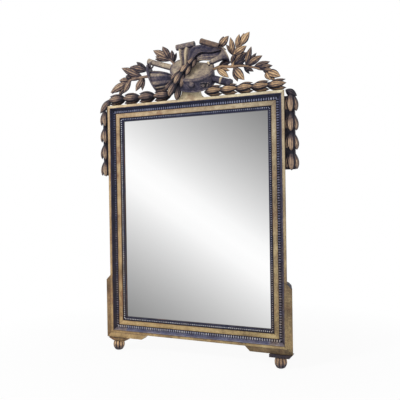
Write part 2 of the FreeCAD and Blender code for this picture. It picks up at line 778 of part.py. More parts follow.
hoop = dim("hoop_thickness")
drum_layers = [
    drum_layer("drum_shell_wall", 0, as_size(0), dim("drum_shell")),
    drum_layer("drum_upper_hoop", hoop, dim("hoop_height") * 0.15, dim("hoop_height")),
    drum_layer("drum_lower_hoop", hoop, dim("drum_shell") - dim("hoop_height"), dim("hoop_height") * 0.9),
]
BOSS_PLACE = (24, -75, 52)
SLOT_PLACE = (62, -92, 41)
SLOT_REACH = 34
JINGLE_PLACES = (70, 84)
boss = crest_place(ball("drum_boss", dim("boss_radius"), (0, 0, 0)), *BOSS_PLACE)
slot = box("drum_slot", (0, 0, 0), (dim("slot_width"), SLOT_REACH, dim("slot_height")))
crest_place(slot, *SLOT_PLACE)
wall_block = box(
    "behind_crest", (-half_frame_x * 2, frame_back, rail_top - dim("moulding_width")),
    (half_frame_x * 4, half_frame_x, half_frame_z))
jingle_z = rail_top + SLOT_PLACE[2] + dim("slot_height") / 2
jingles = [
    rod("drum_jingle", dim("jingle_radius"), 12, (x, -66, jingle_z), BACK) for x in JINGLE_PLACES]
drum = cut("drum_carved", join("drum_blank", drum_layers + [boss]), [wall_block, slot])
drum_whole = cut("drum_with_jingles", join("drum_jingled", [drum] + jingles), [wall_block])

# Plinth between the top rail and the drum, with dowels into the rail.
plinth_body = doc.addObject("PartDesign::Body", "plinth_block")
half_base = dim("plinth_base_width") / 2
half_neck = dim("plinth_neck_width") / 2
plinth_flare = dim("plinth_height") * 0.3
plinth_sketch = outline(body_sketch(plinth_body, "XZ_Plane", "plinth_outline"), (
    (-half_base, 0),
    (half_base, 0),
    (half_base, dim("plinth_height") * 0.06, (plinth_flare * 1.2, -1)),
    (half_neck, plinth_flare),
    (half_neck * 0.8, dim("plinth_height")),
    (-half_neck * 0.8, dim("plinth_height")),
    (-half_neck, plinth_flare, (plinth_flare * 1.2, -1)),
    (-half_base, dim("plinth_height") * 0.06),
))
pad(plinth_body, plinth_sketch, dim("plinth_depth"), "plinth_thickness")
crest_place(plinth_body, 0, frame_back, 0)

dowels = []
for sign in (-1, 1):
    start = (
        dim("dowel_spread") * sign, frame_back - dim("plinth_depth") / 2,
        rail_top - dim("dowel_length") / 2)
    dowels.append(rod("dowel", dim("dowel_radius"), dim("dowel_length"), start, UP))
crest_dowels = keep("crest_dowels", gather("dowels", dowels))

# Batten screwed to the back of the top rail, the plinth and the drum.
batten_bottom = rail_top - dim("batten_lap")
batten_board = box(
    "batten_board", (-dim("batten_width") / 2, frame_back, batten_bottom),
    (dim("batten_width"), dim("board_thickness"), dim("batten_lap") + dim("batten_rise")))
batten_screw_set = []
for x_share, height in ((-0.28, -0.5), (0.28, -0.5), (0, 0.45), (0, 0.9)):
    reach = dim("batten_lap") if height < 0 else dim("batten_rise")
    z = rail_top + reach * height
    x = dim("batten_width") * x_share
    head = cone(
        "batten_screw_head", dim("batten_screw_head"), dim("batten_screw_radius"),
        dim("batten_screw_head") - dim("batten_screw_radius"), (x, 0, z), FRONT)
    shank = rod(
        "batten_screw_shank", dim("batten_screw_radius"), dim("batten_screw_length"), (x, 0, z), FRONT)
    batten_screw_set.append(join("batten_screw", [head, shank]))
batten_screws = keep("batten_screws", gather("batten_screw_set", batten_screw_set))
keep("crest_batten", cut("batten_drilled", batten_board, [batten_screws]))

tambourine = keep("tambourine", cut("drum_drilled", drum_whole, [batten_screws]))
plinth_cuts = [tambourine, crest_dowels, batten_screws]
plinth = keep("crest_plinth", cut("plinth_fitted", plinth_body, plinth_cuts))

# Lute: a bowl of flat staves behind a thick rim; its sections lie along the slanting rim.
LUTE_RIM_TOP = Vector(-210, 0, 174)
LUTE_BOWL_TOP = Vector(-203, 0, 147)
LUTE_BOTTOM = Vector(-165, 0, 48)
LUTE_END = Vector(-72, 0, 98)
LUTE_STATIONS = ((0, 1), (0.16, 0.99), (0.4, 0.9), (0.65, 0.72), (0.85, 0.48), (1, 0.24))
LUTE_STAVES = 7
LUTE_BOWL_FULLNESS = 0.95
LUTE_RIM_FULLNESS = 0.78


def lute_section(top, share, size, fullness):
    start = (top + LUTE_BOTTOM) * 0.5
    middle = start + (LUTE_END - start) * share - Vector(0, plain("board_thickness"), 0)
    half = (top - LUTE_BOTTOM) * (0.5 * size)
    deep = FRONT * (half.Length * fullness)
    angles = [math.pi * i / LUTE_STAVES for i in range(LUTE_STAVES + 1)]
    return [middle + half * math.cos(a) + deep * math.sin(a) for a in angles]


lute_bowl = faceted([
    lute_section(LUTE_BOWL_TOP, share, size, LUTE_BOWL_FULLNESS) for share, size in LUTE_STATIONS])
lute_rim = faceted([
    lute_section(LUTE_RIM_TOP, share, 1.06, LUTE_RIM_FULLNESS) for share in (-0.08, 0.02)])
lute_raw = carving("lute_blank", merged([lute_bowl, lute_rim]))
lute = fitted("lute", lute_raw, [tambourine])

# Flute: one tapered pipe with rings, passing behind the drum.
flute_axis = Vector(398, 0, -137).normalize()
flute_start = (-212, -24, rail_top + 188)
flute_radius = dim("flute_radius")


def flute_ring(share, radius, length):
    reach = dim("flute_length") * share
    start = tuple(as_size(flute_start[i]) + reach * flute_axis[i] for i in range(3))
    return rod("flute_ring", radius, length, start, flute_axis)


flute_pipe = cone(
    "flute_pipe", flute_radius, flute_radius * 1.3, dim("flute_length"), flute_start, flute_axis)
flute_blank = join("flute_blank", [
    flute_pipe,
    flute_ring(0.015, flute_radius * 1.12, as_size(5)),
    flute_ring(0.84, flute_radius * 1.42, as_size(8)),
    flute_ring(0.965, flute_radius * 1.46, dim("flute_length") * 0.034),
])
flute = fitted("flute", flute_blank, [tambourine, lute, wall_block])

# Cord loop that ties the lute to the flute.
loop = doc.addObject("Part::Torus", "loop_blank")
bind(loop, "Radius1", dim("loop_radius"))
bind(loop, "Radius2", dim("loop_cord_radius"))
crest_place(loop, -196, -26, 171, Rotation(UP, flute_axis))
lute_loop = fitted("lute_loop", loop, [flute, lute, wall_block], 0.9)

# Horn: a turned bell, dished at the mouth, pointing to the right and back.
horn_body = doc.addObject("PartDesign::Body", "horn_turned")
horn_length = dim("horn_length")
tip_radius = dim("horn_tip_radius")
bell_radius = dim("horn_bell_radius")
horn_profile = outline(body_sketch(horn_body, "XZ_Plane", "horn_profile"), (
    (0, 0),
    (tip_radius, 0),
    (tip_radius, horn_length * 0.1),
    (tip_radius * 0.75, horn_length * 0.13),
    (tip_radius * 1.7, horn_length * 0.72, (horn_length * 0.24, -1)),
    (bell_radius, horn_length * 0.97),
    (bell_radius, horn_length),
    (bell_radius * 0.86, horn_length),
    (0, horn_length * 0.93),
))
horn_turning = horn_body.newObject("PartDesign::Revolution", "horn_turning")
horn_turning.Profile = horn_profile
horn_turning.ReferenceAxis = (horn_profile, ["V_Axis"])
horn_turning.Angle = 360
horn_axis = Vector(0.80, 0.42, 0.40).normalize()
crest_place(horn_body, 94, -62, 131, Rotation(UP, horn_axis))
horn = fitted("horn", horn_body, [tambourine, wall_block])

# Leaf chain hanging over the drum.
CHAIN = (
    (on_crest(28, 176, 38), on_crest(-10, 132, 66), Vector(0, -0.8, 0.6), 0.8),
    (on_crest(4, 148, 58), on_crest(-34, 82, 98), Vector(0, -0.8, 0.6), 0.95),
    (on_crest(-22, 100, 90), on_crest(-78, 20, 62), FRONT, 1.05),
)
chain_leaves = []
for start, end, face, scale in CHAIN:
    chain_leaves += bunch(start, end, face, scale)
chain_raw = carving("chain_blank", merged(chain_leaves))


# Music score: a fluted left page, a waving right page, a lower page and two rolled edges.
def sheet_solid(upper, lower, forward, thickness):
    """A page between an upper and a lower edge, each a smooth curve."""
    edges = []
    for points in (upper, lower):
        curve = Part.BSplineCurve()
        curve.interpolate([on_crest(x, height, forward) for x, height in points])
        edges.append(curve.toShape())
    ends = [
        Part.makeLine(edges[0].lastVertex().Point, edges[1].firstVertex().Point),
        Part.makeLine(edges[1].lastVertex().Point, edges[0].firstVertex().Point),
    ]
    wire = Part.Wire([edges[0], ends[0], edges[1], ends[1]])
    return Part.Face(wire).extrude(BACK * thickness)


def roll(start, end, forward, radius):
    near = on_crest(start[0], start[1], forward)
    run = on_crest(end[0], end[1], forward) - near
    return Part.makeCylinder(radius, run.Length, near, run)


roll_radius = plain("score_roll_radius")
fold_radius = plain("score_flute_radius")
score_shape = merged([
    sheet_solid(((-42, 150), (-48, 192), (-50, 226)), ((8, 226), (-5, 200), (-10, 150)), 36, 20),
    roll((-36, 152), (-40, 228), 36, fold_radius),
    roll((-18, 152), (-11, 228), 36, fold_radius),
    sheet_solid(
        ((-12, 150), (-2, 188), (14, 220), (58, 226), (105, 214), (154, 206)),
        ((166, 196), (140, 188), (99, 189), (57, 195), (33, 186), (21, 168), (10, 150)), 44, 22),
    sheet_solid(
        ((16, 158), (34, 186), (60, 197), (98, 193), (144, 192)),
        ((147, 170), (129, 159), (87, 160), (51, 164)), 34, 18),
    roll((-64, 229), (22, 235), 36, roll_radius),
    roll((54, 242), (138, 209), 40, roll_radius),
])
score_raw = carving("score_blank", score_shape)

# Garlands along the top rail, running out from the plinth, with a leaf over the left corner.
garland_y = 34
corner_x = half_frame_x.value
drop_x = corner_x + plain("drop_offset")
garlands = {}
for name, sign, start_x, count in (("left", -1, 104, 4), ("right", 1, 70, 5)):
    pitch = (corner_x - start_x) / count
    height = plain("garland_height")
    solids = []
    for i in range(count):
        start = on_crest((start_x + pitch * i) * sign, height, garland_y)
        end = on_crest((start_x + pitch * (i + 1.1)) * sign, height, garland_y)
        solids += bunch(start, end)
    solids.append(strip(
        on_crest(start_x * sign, height, 0), on_crest((corner_x - 20) * sign, height, 0),
        plain("garland_strip_width") / 2, garland_y))
    if name == "left":
        base = on_crest((corner_x - 16) * sign, height + 4, garland_y)
        tip = on_crest((corner_x + 52) * sign, -28, garland_y)
        width = plain("garland_leaf_width") * 1.15
        solids.append(leaf(base, tip, width, plain("garland_leaf_thickness")))
    garlands[name] = carving(f"{name}_garland_blank", merged(solids))

# Drops down the sides, and the pins that hold them to the stiles.
pins = []
drops = {}
DROP_BUNCHES = 4
DROP_START = -8
for name, sign in (("left", -1), ("right", 1)):
    pitch = plain("drop_length") / DROP_BUNCHES
    solids = []
    for i in range(DROP_BUNCHES):
        start = on_crest(drop_x * sign, DROP_START - pitch * i, garland_y)
        end = on_crest(drop_x * sign, DROP_START - pitch * (i + 1.06), garland_y)
        solids += bunch(start, end, FRONT, 1.08, 0.62)
    strip_x = (corner_x + drop_x) / 2 * sign
    strip_half = (drop_x - corner_x) / 2 + plain("drop_strip_reach")
    strip_end = DROP_START - plain("drop_length")
    solids.append(strip(
        on_crest(strip_x, DROP_START - pitch * 0.2, 0), on_crest(strip_x, strip_end, 0), strip_half,
        garland_y - 2))
    if name == "right":
        base = on_crest(corner_x, 2, garland_y - 4)
        tip = on_crest(corner_x + 48, -26, garland_y - 6)
        thickness = plain("garland_leaf_thickness") * 0.7
        solids.append(leaf(base, tip, plain("garland_leaf_width"), thickness))
    drops[name] = carving(f"{name}_drop_blank", merged(solids))
    for share in (0.17, 0.67):
        start = (
            (half_frame_x + dim("drop_offset") * 0.7) * sign, -garland_y + 6,
            rail_top + DROP_START - dim("drop_length") * share)
        direction = RIGHT * -sign
        pins.append(rod("pin", dim("pin_radius"), dim("pin_length"), start, direction))
drop_pins = keep("drop_pins", gather("pins", pins))

# Frame pieces take their holes; the carvings are cut where a nearer piece or the frame stands.
fasteners = [board_nails, mitre_keys, hanger_screws, crest_dowels, batten_screws, drop_pins]
bevels = [side_bevel(sign, half_frame_x * sign, ear_top, rail_top) for sign in (-1, 1)]
RAIL_LABELS = {"top": "top_rail", "bottom": "bottom_rail", "left": "left_stile", "right": "right_stile"}
rail_pieces = {}
for side, label in RAIL_LABELS.items():
    rail_pieces[side] = keep(label, cut(f"{label}_drilled", rails[side], fasteners + bevels))

frame_block = box(
    "frame_space", (-half_frame_x, frame_back - 200, -half_frame_z),
    (half_frame_x * 2, as_size(400), half_frame_z * 2))
for name in ("left", "right"):
    garlands[name] = fitted(
        f"{name}_garland", garlands[name], [frame_block, plinth, tambourine, flute, lute, wall_block])
    fitted(f"{name}_drop", drops[name], [
        rail_pieces[name], rail_pieces["top"], garlands[name], drop_pins, wall_block])
chain = fitted("leaf_chain", chain_raw, [tambourine, lute, plinth, garlands["left"], frame_block])
score = fitted("music_score", score_raw, [tambourine, chain, horn, wall_block])

LEFT_STEMS = (
    ((-200, 122), (-297, 116), (-320, 104), (-406, 63)),
    ((-206, 122), (-222, 150)),
)
LEFT_LEAVES = (
    (-243, 120, -351, 173, 31, 4),
    (-220, 146, -305, 172, 30, 6),
    (-305, 112, -369, 117, 24, -3),
    (-296, 117, -329, 134, 20, 5),
    (-318, 105, -412, 64, 32, 6),
    (-304, 112, -343, 57, 25, -2),
    (-238, 119, -277, 58, 26, 5),
)
LEFT_SPRIG_STEMS = (((-80, 150), (-88, 170), (-108, 189)),)
LEFT_SPRIG_LEAVES = (
    (-106, 187, -185, 234, 28, 4),
    (-98, 180, -178, 207, 24, -2),
    (-102, 184, -137, 246, 28, 5),
    (-88, 170, -93, 226, 22, 0),
)
RIGHT_STEMS = (
    ((90, 112), (137, 127), (185, 121), (235, 119), (287, 107), (343, 88)),
    ((192, 118), (202, 165), (214, 195), (234, 206)),
)
RIGHT_LEAVES = (
    (201, 165, 184, 246, 22, -2),
    (212, 192, 226, 253, 21, 2),
    (230, 204, 273, 255, 28, 6),
    (201, 168, 260, 198, 28, 8),
    (196, 124, 259, 177, 26, -6),
    (252, 118, 276, 197, 23, -4),
    (256, 117, 326, 151, 26, 4),
    (286, 108, 356, 124, 22, -2),
    (304, 102, 369, 105, 20, 4),
    (338, 88, 402, 57, 26, 5),
    (340, 86, 357, 47, 23, 0),
    (196, 118, 248, 57, 31, 8),
    (120, 122, 178, 75, 23, 4),
    (240, 118, 284, 92, 16, -8),
)
RIGHT_SPRIG_STEMS = (((122, 196), (138, 212)),)
RIGHT_SPRIG_LEAVES = ((132, 206, 179, 252, 28, 3),)

BRANCHES = (
    ("left_branch", LEFT_STEMS, LEFT_LEAVES, 28, [lute, flute, lute_loop, garlands["left"]]),
    ("left_sprig", LEFT_SPRIG_STEMS, LEFT_SPRIG_LEAVES, 26, [flute, tambourine, score]),
    ("right_branch", RIGHT_STEMS, RIGHT_LEAVES, 28, [tambourine, horn, flute, score, garlands["right"]]),
    ("right_sprig", RIGHT_SPRIG_STEMS, RIGHT_SPRIG_LEAVES, 26, [score, horn, tambourine]),
)
for label, stems, leaves, depth, neighbours in BRANCHES:
    fitted(label, carving(f"{label}_blank", branch(stems, leaves, depth)), neighbours)

doc.recompute()
os.makedirs("parts", exist_ok=True)
for piece in pieces:
    shape = piece.Shape
    if "Invalid" in piece.State or "Error" in piece.State or shape.isNull() or not shape.isValid():
        raise RuntimeError(f"{piece.Label} did not build")
    shape.exportStep(f"parts/{piece.Label}.step")
    print(piece.Label, len(shape.Solids), round(shape.Volume), shape.BoundBox)
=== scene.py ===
from math import cos, pi, radians, sin

import bmesh
import bpy
from mathutils import Matrix, Vector, noise


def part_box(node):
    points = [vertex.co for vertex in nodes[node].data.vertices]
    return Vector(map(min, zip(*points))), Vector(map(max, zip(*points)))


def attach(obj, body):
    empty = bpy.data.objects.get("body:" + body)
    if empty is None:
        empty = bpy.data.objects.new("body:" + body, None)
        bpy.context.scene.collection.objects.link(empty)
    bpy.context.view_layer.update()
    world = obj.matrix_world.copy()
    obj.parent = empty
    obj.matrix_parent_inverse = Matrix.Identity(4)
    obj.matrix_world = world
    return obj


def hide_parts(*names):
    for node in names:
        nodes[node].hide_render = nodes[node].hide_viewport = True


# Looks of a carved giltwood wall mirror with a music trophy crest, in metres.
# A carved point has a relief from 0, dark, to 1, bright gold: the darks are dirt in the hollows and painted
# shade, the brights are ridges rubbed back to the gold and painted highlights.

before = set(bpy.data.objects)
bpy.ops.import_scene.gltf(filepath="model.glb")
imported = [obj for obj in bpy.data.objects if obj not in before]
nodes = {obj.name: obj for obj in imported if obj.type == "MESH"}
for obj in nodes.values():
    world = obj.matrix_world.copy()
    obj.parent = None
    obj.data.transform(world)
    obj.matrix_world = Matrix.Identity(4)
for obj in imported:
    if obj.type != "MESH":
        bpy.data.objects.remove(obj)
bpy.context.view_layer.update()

MM = 0.001
RIGHT = Vector((1, 0, 0))
LEFT = Vector((-1, 0, 0))
UP = Vector((0, 0, 1))
DOWN = Vector((0, 0, -1))
FRONT = Vector((0, -1, 0))
BACK = Vector((0, 1, 0))

# Places read from the frame.
rail_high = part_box("top_rail")[1]
HALF_X = rail_high.x
RAIL_TOP = rail_high.z
FRAME_BACK = rail_high.y
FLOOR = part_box("left_foot")[0].z
EAR_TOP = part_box("left_side_ear")[1].z


def clamp(value, low=0.0, high=1.0):
    return max(low, min(high, value))


def smooth(low, high, value):
    """0 below low, 1 above high, and an even curve between."""
    share = clamp((value - low) / (high - low))
    return share * share * (3 - 2 * share)


def mixed(a, b, share):
    return a + (b - a) * share


def crest(x, height, forward):
    """A point of the crest in millimetres: right of the middle, above the top rail, off the wall."""
    return Vector((x * MM, -forward * MM, RAIL_TOP + height * MM))


def around(count):
    """Angles of even steps round a full turn."""
    return [2 * pi * i / count for i in range(count)]


def steps(count):
    """Shares from 0 to 1 in even steps."""
    return [i / count for i in range(count + 1)]


def flow(points, count):
    """A smooth curve through points, read at even steps."""
    ends = [points[0] * 2 - points[1]] + list(points) + [points[-1] * 2 - points[-2]]
    spans = len(points) - 1
    curve = []
    for share in steps(count):
        place = share * spans
        span = min(int(place), spans - 1)
        t = place - span
        a, b, c, d = ends[span:span + 4]
        curve.append((b * 2 + (c - a) * t + (a * 2 - b * 5 + c * 4 - d) * t ** 2
                      + (b * 3 - a - c * 3 + d) * t ** 3) / 2)
    return curve


# Materials


class Nodes:
    """Adds nodes to a tree; a node takes numbers, colours and the outputs of other nodes."""

    def __init__(self, tree):
        self.tree = tree

    def feed(self, socket, value):
        if isinstance(value, bpy.types.NodeSocket):
            self.tree.links.new(value, socket)
        else:
            socket.default_value = value

    def node(self, kind, inputs, **settings):
        node = self.tree.nodes.new("ShaderNode" + kind)
        for name, value in settings.items():
            setattr(node, name, value)
        for name, value in inputs.items():
            self.feed(node.inputs[name], value)
        return node

    def math(self, operation, a, b=0.0, clamped=False):
        node = self.node("Math", {0: a, 1: b}, operation=operation, use_clamp=clamped)
        return node.outputs[0]

    def times(self, a, b):
        return self.math("MULTIPLY", a, b)

    def added(self, first, *others):
        """The sum of all values, kept between 0 and 1."""
        for value in others[:-1]:
            first = self.math("ADD", first, value)
        return self.math("ADD", first, others[-1], clamped=True)

    def spread(self, value, low, high, to_low=0.0, to_high=1.0):
        """A value between low and high brought to between to_low and to_high."""
        node = self.node("MapRange", {
            "Value": value, "From Min": low, "From Max": high, "To Min": to_low, "To Max": to_high})
        return node.outputs["Result"]


class Look(Nodes):
    """A node material; its textures are laid out in the object's own metres."""

    def __init__(self, name):
        self.material = bpy.data.materials.new(name)
        self.material.use_nodes = True
        super().__init__(self.material.node_tree)
        self.shader = self.tree.nodes["Principled BSDF"]
        self.place = self.node("TexCoord", {}).outputs["Object"]

    def noise(self, scale, detail=4, stretch=(1, 1, 1), rough=0.6):
        mapping = self.node("Mapping", {"Vector": self.place, "Scale": stretch})
        node = self.node("TexNoise", {
            "Vector": mapping.outputs["Vector"], "Scale": scale, "Detail": detail, "Roughness": rough})
        return node.outputs["Fac"]

    def vary(self, texture, low, high):
        """A noise, which lies mostly between 0.3 and 0.7, brought to between low and high."""
        return self.spread(texture, 0.3, 0.7, low, high)

    def ramp(self, factor, stops):
        """Colours from (place, red, green, blue), as seen on a screen, 0 to 255."""
        node = self.node("ValToRGB", {"Fac": factor})
        marks = node.color_ramp.elements
        while len(marks) < len(stops):
            marks.new(1.0)
        for mark, (place, *rgb) in zip(marks, stops):
            mark.position = place
            mark.color = [screen_to_light(part) for part in rgb] + [1.0]
        return node.outputs["Color"]

    def blend(self, factor, a, b):
        return self.node("Mix", {"Factor": factor, 6: a, 7: b}, data_type="RGBA").outputs[2]

    def relief(self):
        return self.node("Attribute", {}, attribute_name="relief").outputs["Fac"]

    def axis(self, letter):
        return self.node("SeparateXYZ", {0: self.place}).outputs[letter]

    def from_middle(self):
        """The square of the distance from the object's own Z axis."""
        return self.math("ADD", *(self.math("POWER", self.axis(letter), 2.0) for letter in "XY"))

    def bump(self, height, strength, distance):
        node = self.node("Bump", {"Strength": strength, "Distance": distance, "Height": height})
        self.feed(self.shader.inputs["Normal"], node.outputs["Normal"])

    def show(self, shader):
        """Puts another shader in place of the usual one."""
        self.feed(self.tree.nodes["Material Output"].inputs["Surface"], shader.outputs[0])
        return self.material

    def finish(self, colour, roughness, metallic, specular):
        for name, value in (("Base Color", colour), ("Roughness", roughness), ("Metallic", metallic),
                            ("Specular IOR Level", specular)):
            self.feed(self.shader.inputs[name], value)
        return self.material


def screen_to_light(part):
    share = part / 255
    return share / 12.92 if share <= 0.04045 else ((share + 0.055) / 1.055) ** 2.4


def gilding_look():
    """Worn gilding of the plain members: olive low down, warmer to the left, rubbed to clay in patches."""
    look = Look("worn_gilding")
    clouds = look.noise(14, 5)
    specks = look.noise(160, 6, rough=0.75)
    streaks = look.noise(38, 4, (1, 1, 0.25))
    tone = look.added(
        look.relief(), look.spread(look.axis("Z"), -0.42, 0.30, -0.05, 0.03), look.vary(clouds, -0.15, 0.14),
        look.vary(specks, -0.16, 0.14), look.spread(streaks, 0.35, 0.65, -0.06, 0.06))
    gold = look.ramp(tone, (
        (0.0, 24, 20, 28), (0.2, 74, 62, 56), (0.38, 124, 108, 90), (0.55, 160, 144, 118),
        (0.72, 186, 172, 146), (0.88, 208, 197, 166), (1.0, 228, 218, 188)))
    olive = look.ramp(tone, (
        (0.0, 26, 18, 20), (0.38, 132, 110, 70), (0.6, 186, 160, 100), (1.0, 232, 212, 158)))
    orange = look.ramp(tone, (
        (0.0, 26, 18, 20), (0.38, 140, 104, 72), (0.6, 198, 156, 106), (1.0, 236, 210, 162)))
    clay = look.ramp(specks, ((0.3, 92, 52, 40), (0.7, 150, 104, 80)))
    gold = look.blend(look.spread(look.axis("Z"), -0.5, 0.45, 0.6, 0.0), gold, olive)
    gold = look.blend(look.spread(look.axis("X"), -0.42, 0.3, 0.45, 0.0), gold, orange)
    patches = look.spread(look.times(look.noise(24, 6, rough=0.7), look.noise(9, 2)), 0.26, 0.37)
    bared = look.spread(look.axis("X"), -0.2, 0.35, 0.66, 0.25)
    gold = look.blend(look.times(patches, bared), gold, clay)
    look.bump(look.math("ADD", look.times(specks, 0.6), streaks), 0.35, 0.0006)
    return look.finish(gold, look.vary(specks, 0.42, 0.62), 0.22, 0.4)


def paint_look():
    """Blue-black paint of the hollows and beads: where the relief is high it turns grey and near white, which
    is painted highlight on the bead tops and painted light in the coves; rubbed to brown low down.
    """
    look = Look("blue_black_paint")
    clouds = look.noise(30, 4)
    specks = look.noise(240, 5, rough=0.7)
    tone = look.added(look.relief(), look.vary(clouds, -0.09, 0.09), look.vary(specks, -0.12, 0.12))
    paint = look.ramp(tone, (
        (0.0, 10, 13, 28), (0.22, 26, 32, 58), (0.45, 56, 60, 88), (0.65, 88, 95, 126),
        (0.85, 138, 144, 170), (1.0, 218, 222, 232)))
    brown = look.ramp(tone, ((0.0, 28, 22, 26), (0.5, 90, 74, 64), (1.0, 214, 192, 162)))
    bare = look.spread(look.noise(20, 5, rough=0.7), 0.35, 0.7, 0.3, 1.2)
    low = look.spread(look.axis("Z"), -0.5, 0.45, 0.34, 0.06)
    beside = look.spread(look.math("ABSOLUTE", look.axis("X")), 0.335, 0.345, 0.0, 0.42)
    sides = look.times(beside, look.spread(look.axis("Z"), -0.3, 0.45, 1.0, 0.2))
    share = look.math("MULTIPLY", bare, look.math("ADD", low, sides), clamped=True)
    look.bump(specks, 0.25, 0.0004)
    return look.finish(look.blend(share, paint, brown), look.vary(clouds, 0.45, 0.62), 0.0, 0.3)


CARVING_WEAR = 0.13
CARVING_METALLIC = 0.18


def carving_look(name, stops):
    """Dark patinated gilding of the carvings, toned by the relief: dirt in the hollows and painted shade
    where it is low, rubbed gold and painted highlights where it is high.
    """
    look = Look(name)
    clouds = look.noise(22, 4)
    specks = look.noise(210, 6, rough=0.75)
    mottle = look.noise(85, 3, rough=0.7)
    tone = look.added(
        look.relief(), look.vary(clouds, -CARVING_WEAR, CARVING_WEAR),
        look.vary(mottle, -CARVING_WEAR, CARVING_WEAR), look.vary(specks, -0.12, 0.12))
    look.bump(look.math("ADD", specks, look.times(look.noise(70, 3), 0.8)), 0.4, 0.0007)
    return look.finish(look.ramp(tone, stops), look.vary(specks, 0.40, 0.62), CARVING_METALLIC, 0.4)


def wood_look():
    look = Look("bare_softwood")
    grain = look.noise(26, 5, (9, 9, 0.35))
    fine = look.noise(120, 4, (6, 6, 0.3))
    stain = look.spread(look.noise(5, 3), 0.35, 0.7, 0.0, 0.55)
    tone = look.math("ADD", look.times(grain, 0.7), look.times(fine, 0.3))
    clean = look.ramp(tone, (
        (0.3, 84, 60, 42), (0.45, 128, 96, 66), (0.6, 158, 124, 88), (0.75, 176, 144, 106)))
    stained = look.ramp(tone, ((0.3, 52, 40, 32), (0.75, 104, 82, 62)))
    look.bump(tone, 0.4, 0.0008)
    return look.finish(look.blend(stain, clean, stained), look.vary(fine, 0.62, 0.8), 0.0, 0.3)


def metal_look(name, dark, bright, metallic, rough):
    look = Look(name)
    patches = look.noise(120, 5, rough=0.7)
    fine = look.noise(700, 4)
    colour = look.ramp(patches, ((0.32, *dark), (0.68, *bright)))
    look.bump(look.math("ADD", patches, look.times(fine, 0.5)), 0.25, 0.0004)
    return look.finish(colour, look.vary(patches, rough + 0.18, rough), metallic, 0.5)


DARK_EDGE = 0.012


def mirror_look():
    """Silvered plate: clean, with a breath of haze and a faint darker edge."""
    look = Look("silvered_plate")
    haze = look.noise(5, 5)
    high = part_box("mirror_glass")[1]
    edge = look.math("MAXIMUM", *(
        look.spread(look.math("ABSOLUTE", look.axis(letter)), end - DARK_EDGE, end)
        for letter, end in (("X", high.x), ("Z", high.z))))
    tone = look.added(edge, look.spread(haze, 0.4, 0.8, 0.0, 0.04))
    colour = look.ramp(tone, ((0.0, 255, 255, 255), (0.1, 252, 253, 254), (1.0, 186, 192, 200)))
    return look.finish(colour, look.vary(haze, 0.012, 0.03), 1.0, 0.5)


GILDING = gilding_look()
PAINT = paint_look()
LEAF_GILT = carving_look("patinated_leaf_gilding", (
    (0.0, 15, 16, 34), (0.2, 44, 40, 54), (0.4, 88, 74, 71), (0.6, 134, 110, 91),
    (0.8, 183, 149, 114), (1.0, 222, 190, 146)))
# A darker, cooler copy of the leaf gilding, for the carvings on the left.
DARKER_COOLER_GILT = carving_look("darker_cooler_leaf_gilding", (
    (0.0, 14, 14, 28), (0.2, 44, 39, 50), (0.4, 84, 71, 72), (0.6, 126, 104, 93),
    (0.8, 166, 140, 116), (1.0, 204, 176, 142)))
TROPHY_GILT = carving_look("patinated_trophy_gilding", (
    (0.0, 12, 12, 24), (0.2, 48, 46, 66), (0.36, 84, 77, 88), (0.52, 125, 112, 106),
    (0.68, 164, 149, 132), (0.84, 194, 178, 150), (1.0, 226, 207, 166)))
WOOD = wood_look()
IRON = metal_look("rusted_iron", (46, 34, 28), (92, 78, 68), 0.7, 0.5)
BRASS = metal_look("tarnished_brass", (86, 66, 34), (170, 138, 78), 0.9, 0.32)
MIRROR = mirror_look()


# Mesh work
JOIN_DISTANCE = 1e-7
CAD_JOIN_DISTANCE = 1e-6
SHARP_ANGLE = 55


class Carving:
    """Points, faces and relief of one piece."""

    def __init__(self):
        self.points = []
        self.faces = []
        self.relief = []

    def grid(self, rows, closed=False, capped=False):
        """Faces over rows of (point, relief); closed joins the end of each row to its start."""
        first = len(self.points)
        width = len(rows[0])
        for row in rows:
            for point, relief in row:
                self.points.append(point)
                self.relief.append(clamp(relief))
        for i in range(len(rows) - 1):
            for j in range(width if closed else width - 1):
                k = (j + 1) % width
                near = first + i * width
                self.faces.append((near + j, near + k, near + width + k, near + width + j))
        if capped:
            last = first + (len(rows) - 1) * width
            self.faces.append(tuple(range(first + width - 1, first - 1, -1)))
            self.faces.append(tuple(range(last, last + width)))

    def loft(self, outer, inner, point, closed=True, capped=True):
        """A grid of point(a, b): a row for each a of outer, and in it a point for each b of inner."""
        self.grid([[point(a, b) for b in inner] for a in outer], closed, capped)

    def finish(self, name, look, slot, *replaced, cut_back=True, sharp=SHARP_ANGLE):
        mesh = bpy.data.meshes.new(name)
        mesh.from_pydata(self.points, [], self.faces)
        mesh.attributes.new("relief", "FLOAT", "POINT").data.foreach_set("value", self.relief)
        form = bmesh.new()
        form.from_mesh(mesh)
        bmesh.ops.remove_doubles(form, verts=form.verts, dist=JOIN_DISTANCE)
        bmesh.ops.dissolve_degenerate(form, edges=form.edges, dist=JOIN_DISTANCE)
        bmesh.ops.recalc_face_normals(form, faces=form.faces)
        if cut_back:
            trim(form)
        form.to_mesh(mesh)
        form.free()
        return dress(name, mesh, look, replaced, sharp)


def trim(form):
    """Cuts a form off at the wall and closes it there."""
    cut = bmesh.ops.bisect_plane(
        form, geom=form.verts[:] + form.edges[:] + form.faces[:], dist=JOIN_DISTANCE,
        plane_co=BACK * FRAME_BACK, plane_no=BACK, clear_outer=True)
    rim = [part for part in cut["geom_cut"] if isinstance(part, bmesh.types.BMEdge)]
    if rim:
        bmesh.ops.triangle_fill(form, use_beauty=True, edges=rim)


def add_object(name, data):
    obj = bpy.data.objects.new(name, data)
    bpy.context.scene.collection.objects.link(obj)
    return obj


def dress(name, mesh, look, replaced, sharp):
    """Shades a mesh, makes the object and gives it to the frame."""
    mesh.shade_smooth()
    mesh.set_sharp_from_angle(angle=radians(sharp))
    mesh.materials.append(look)
    obj = add_object(name, mesh)
    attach(obj, "mirror")
    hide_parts(*replaced)
    return obj


# A face turned up more than this takes the top look, and keeps this share of its relief.
UPWARD = 0.3
TOP_FACE_SHARE = 0.4
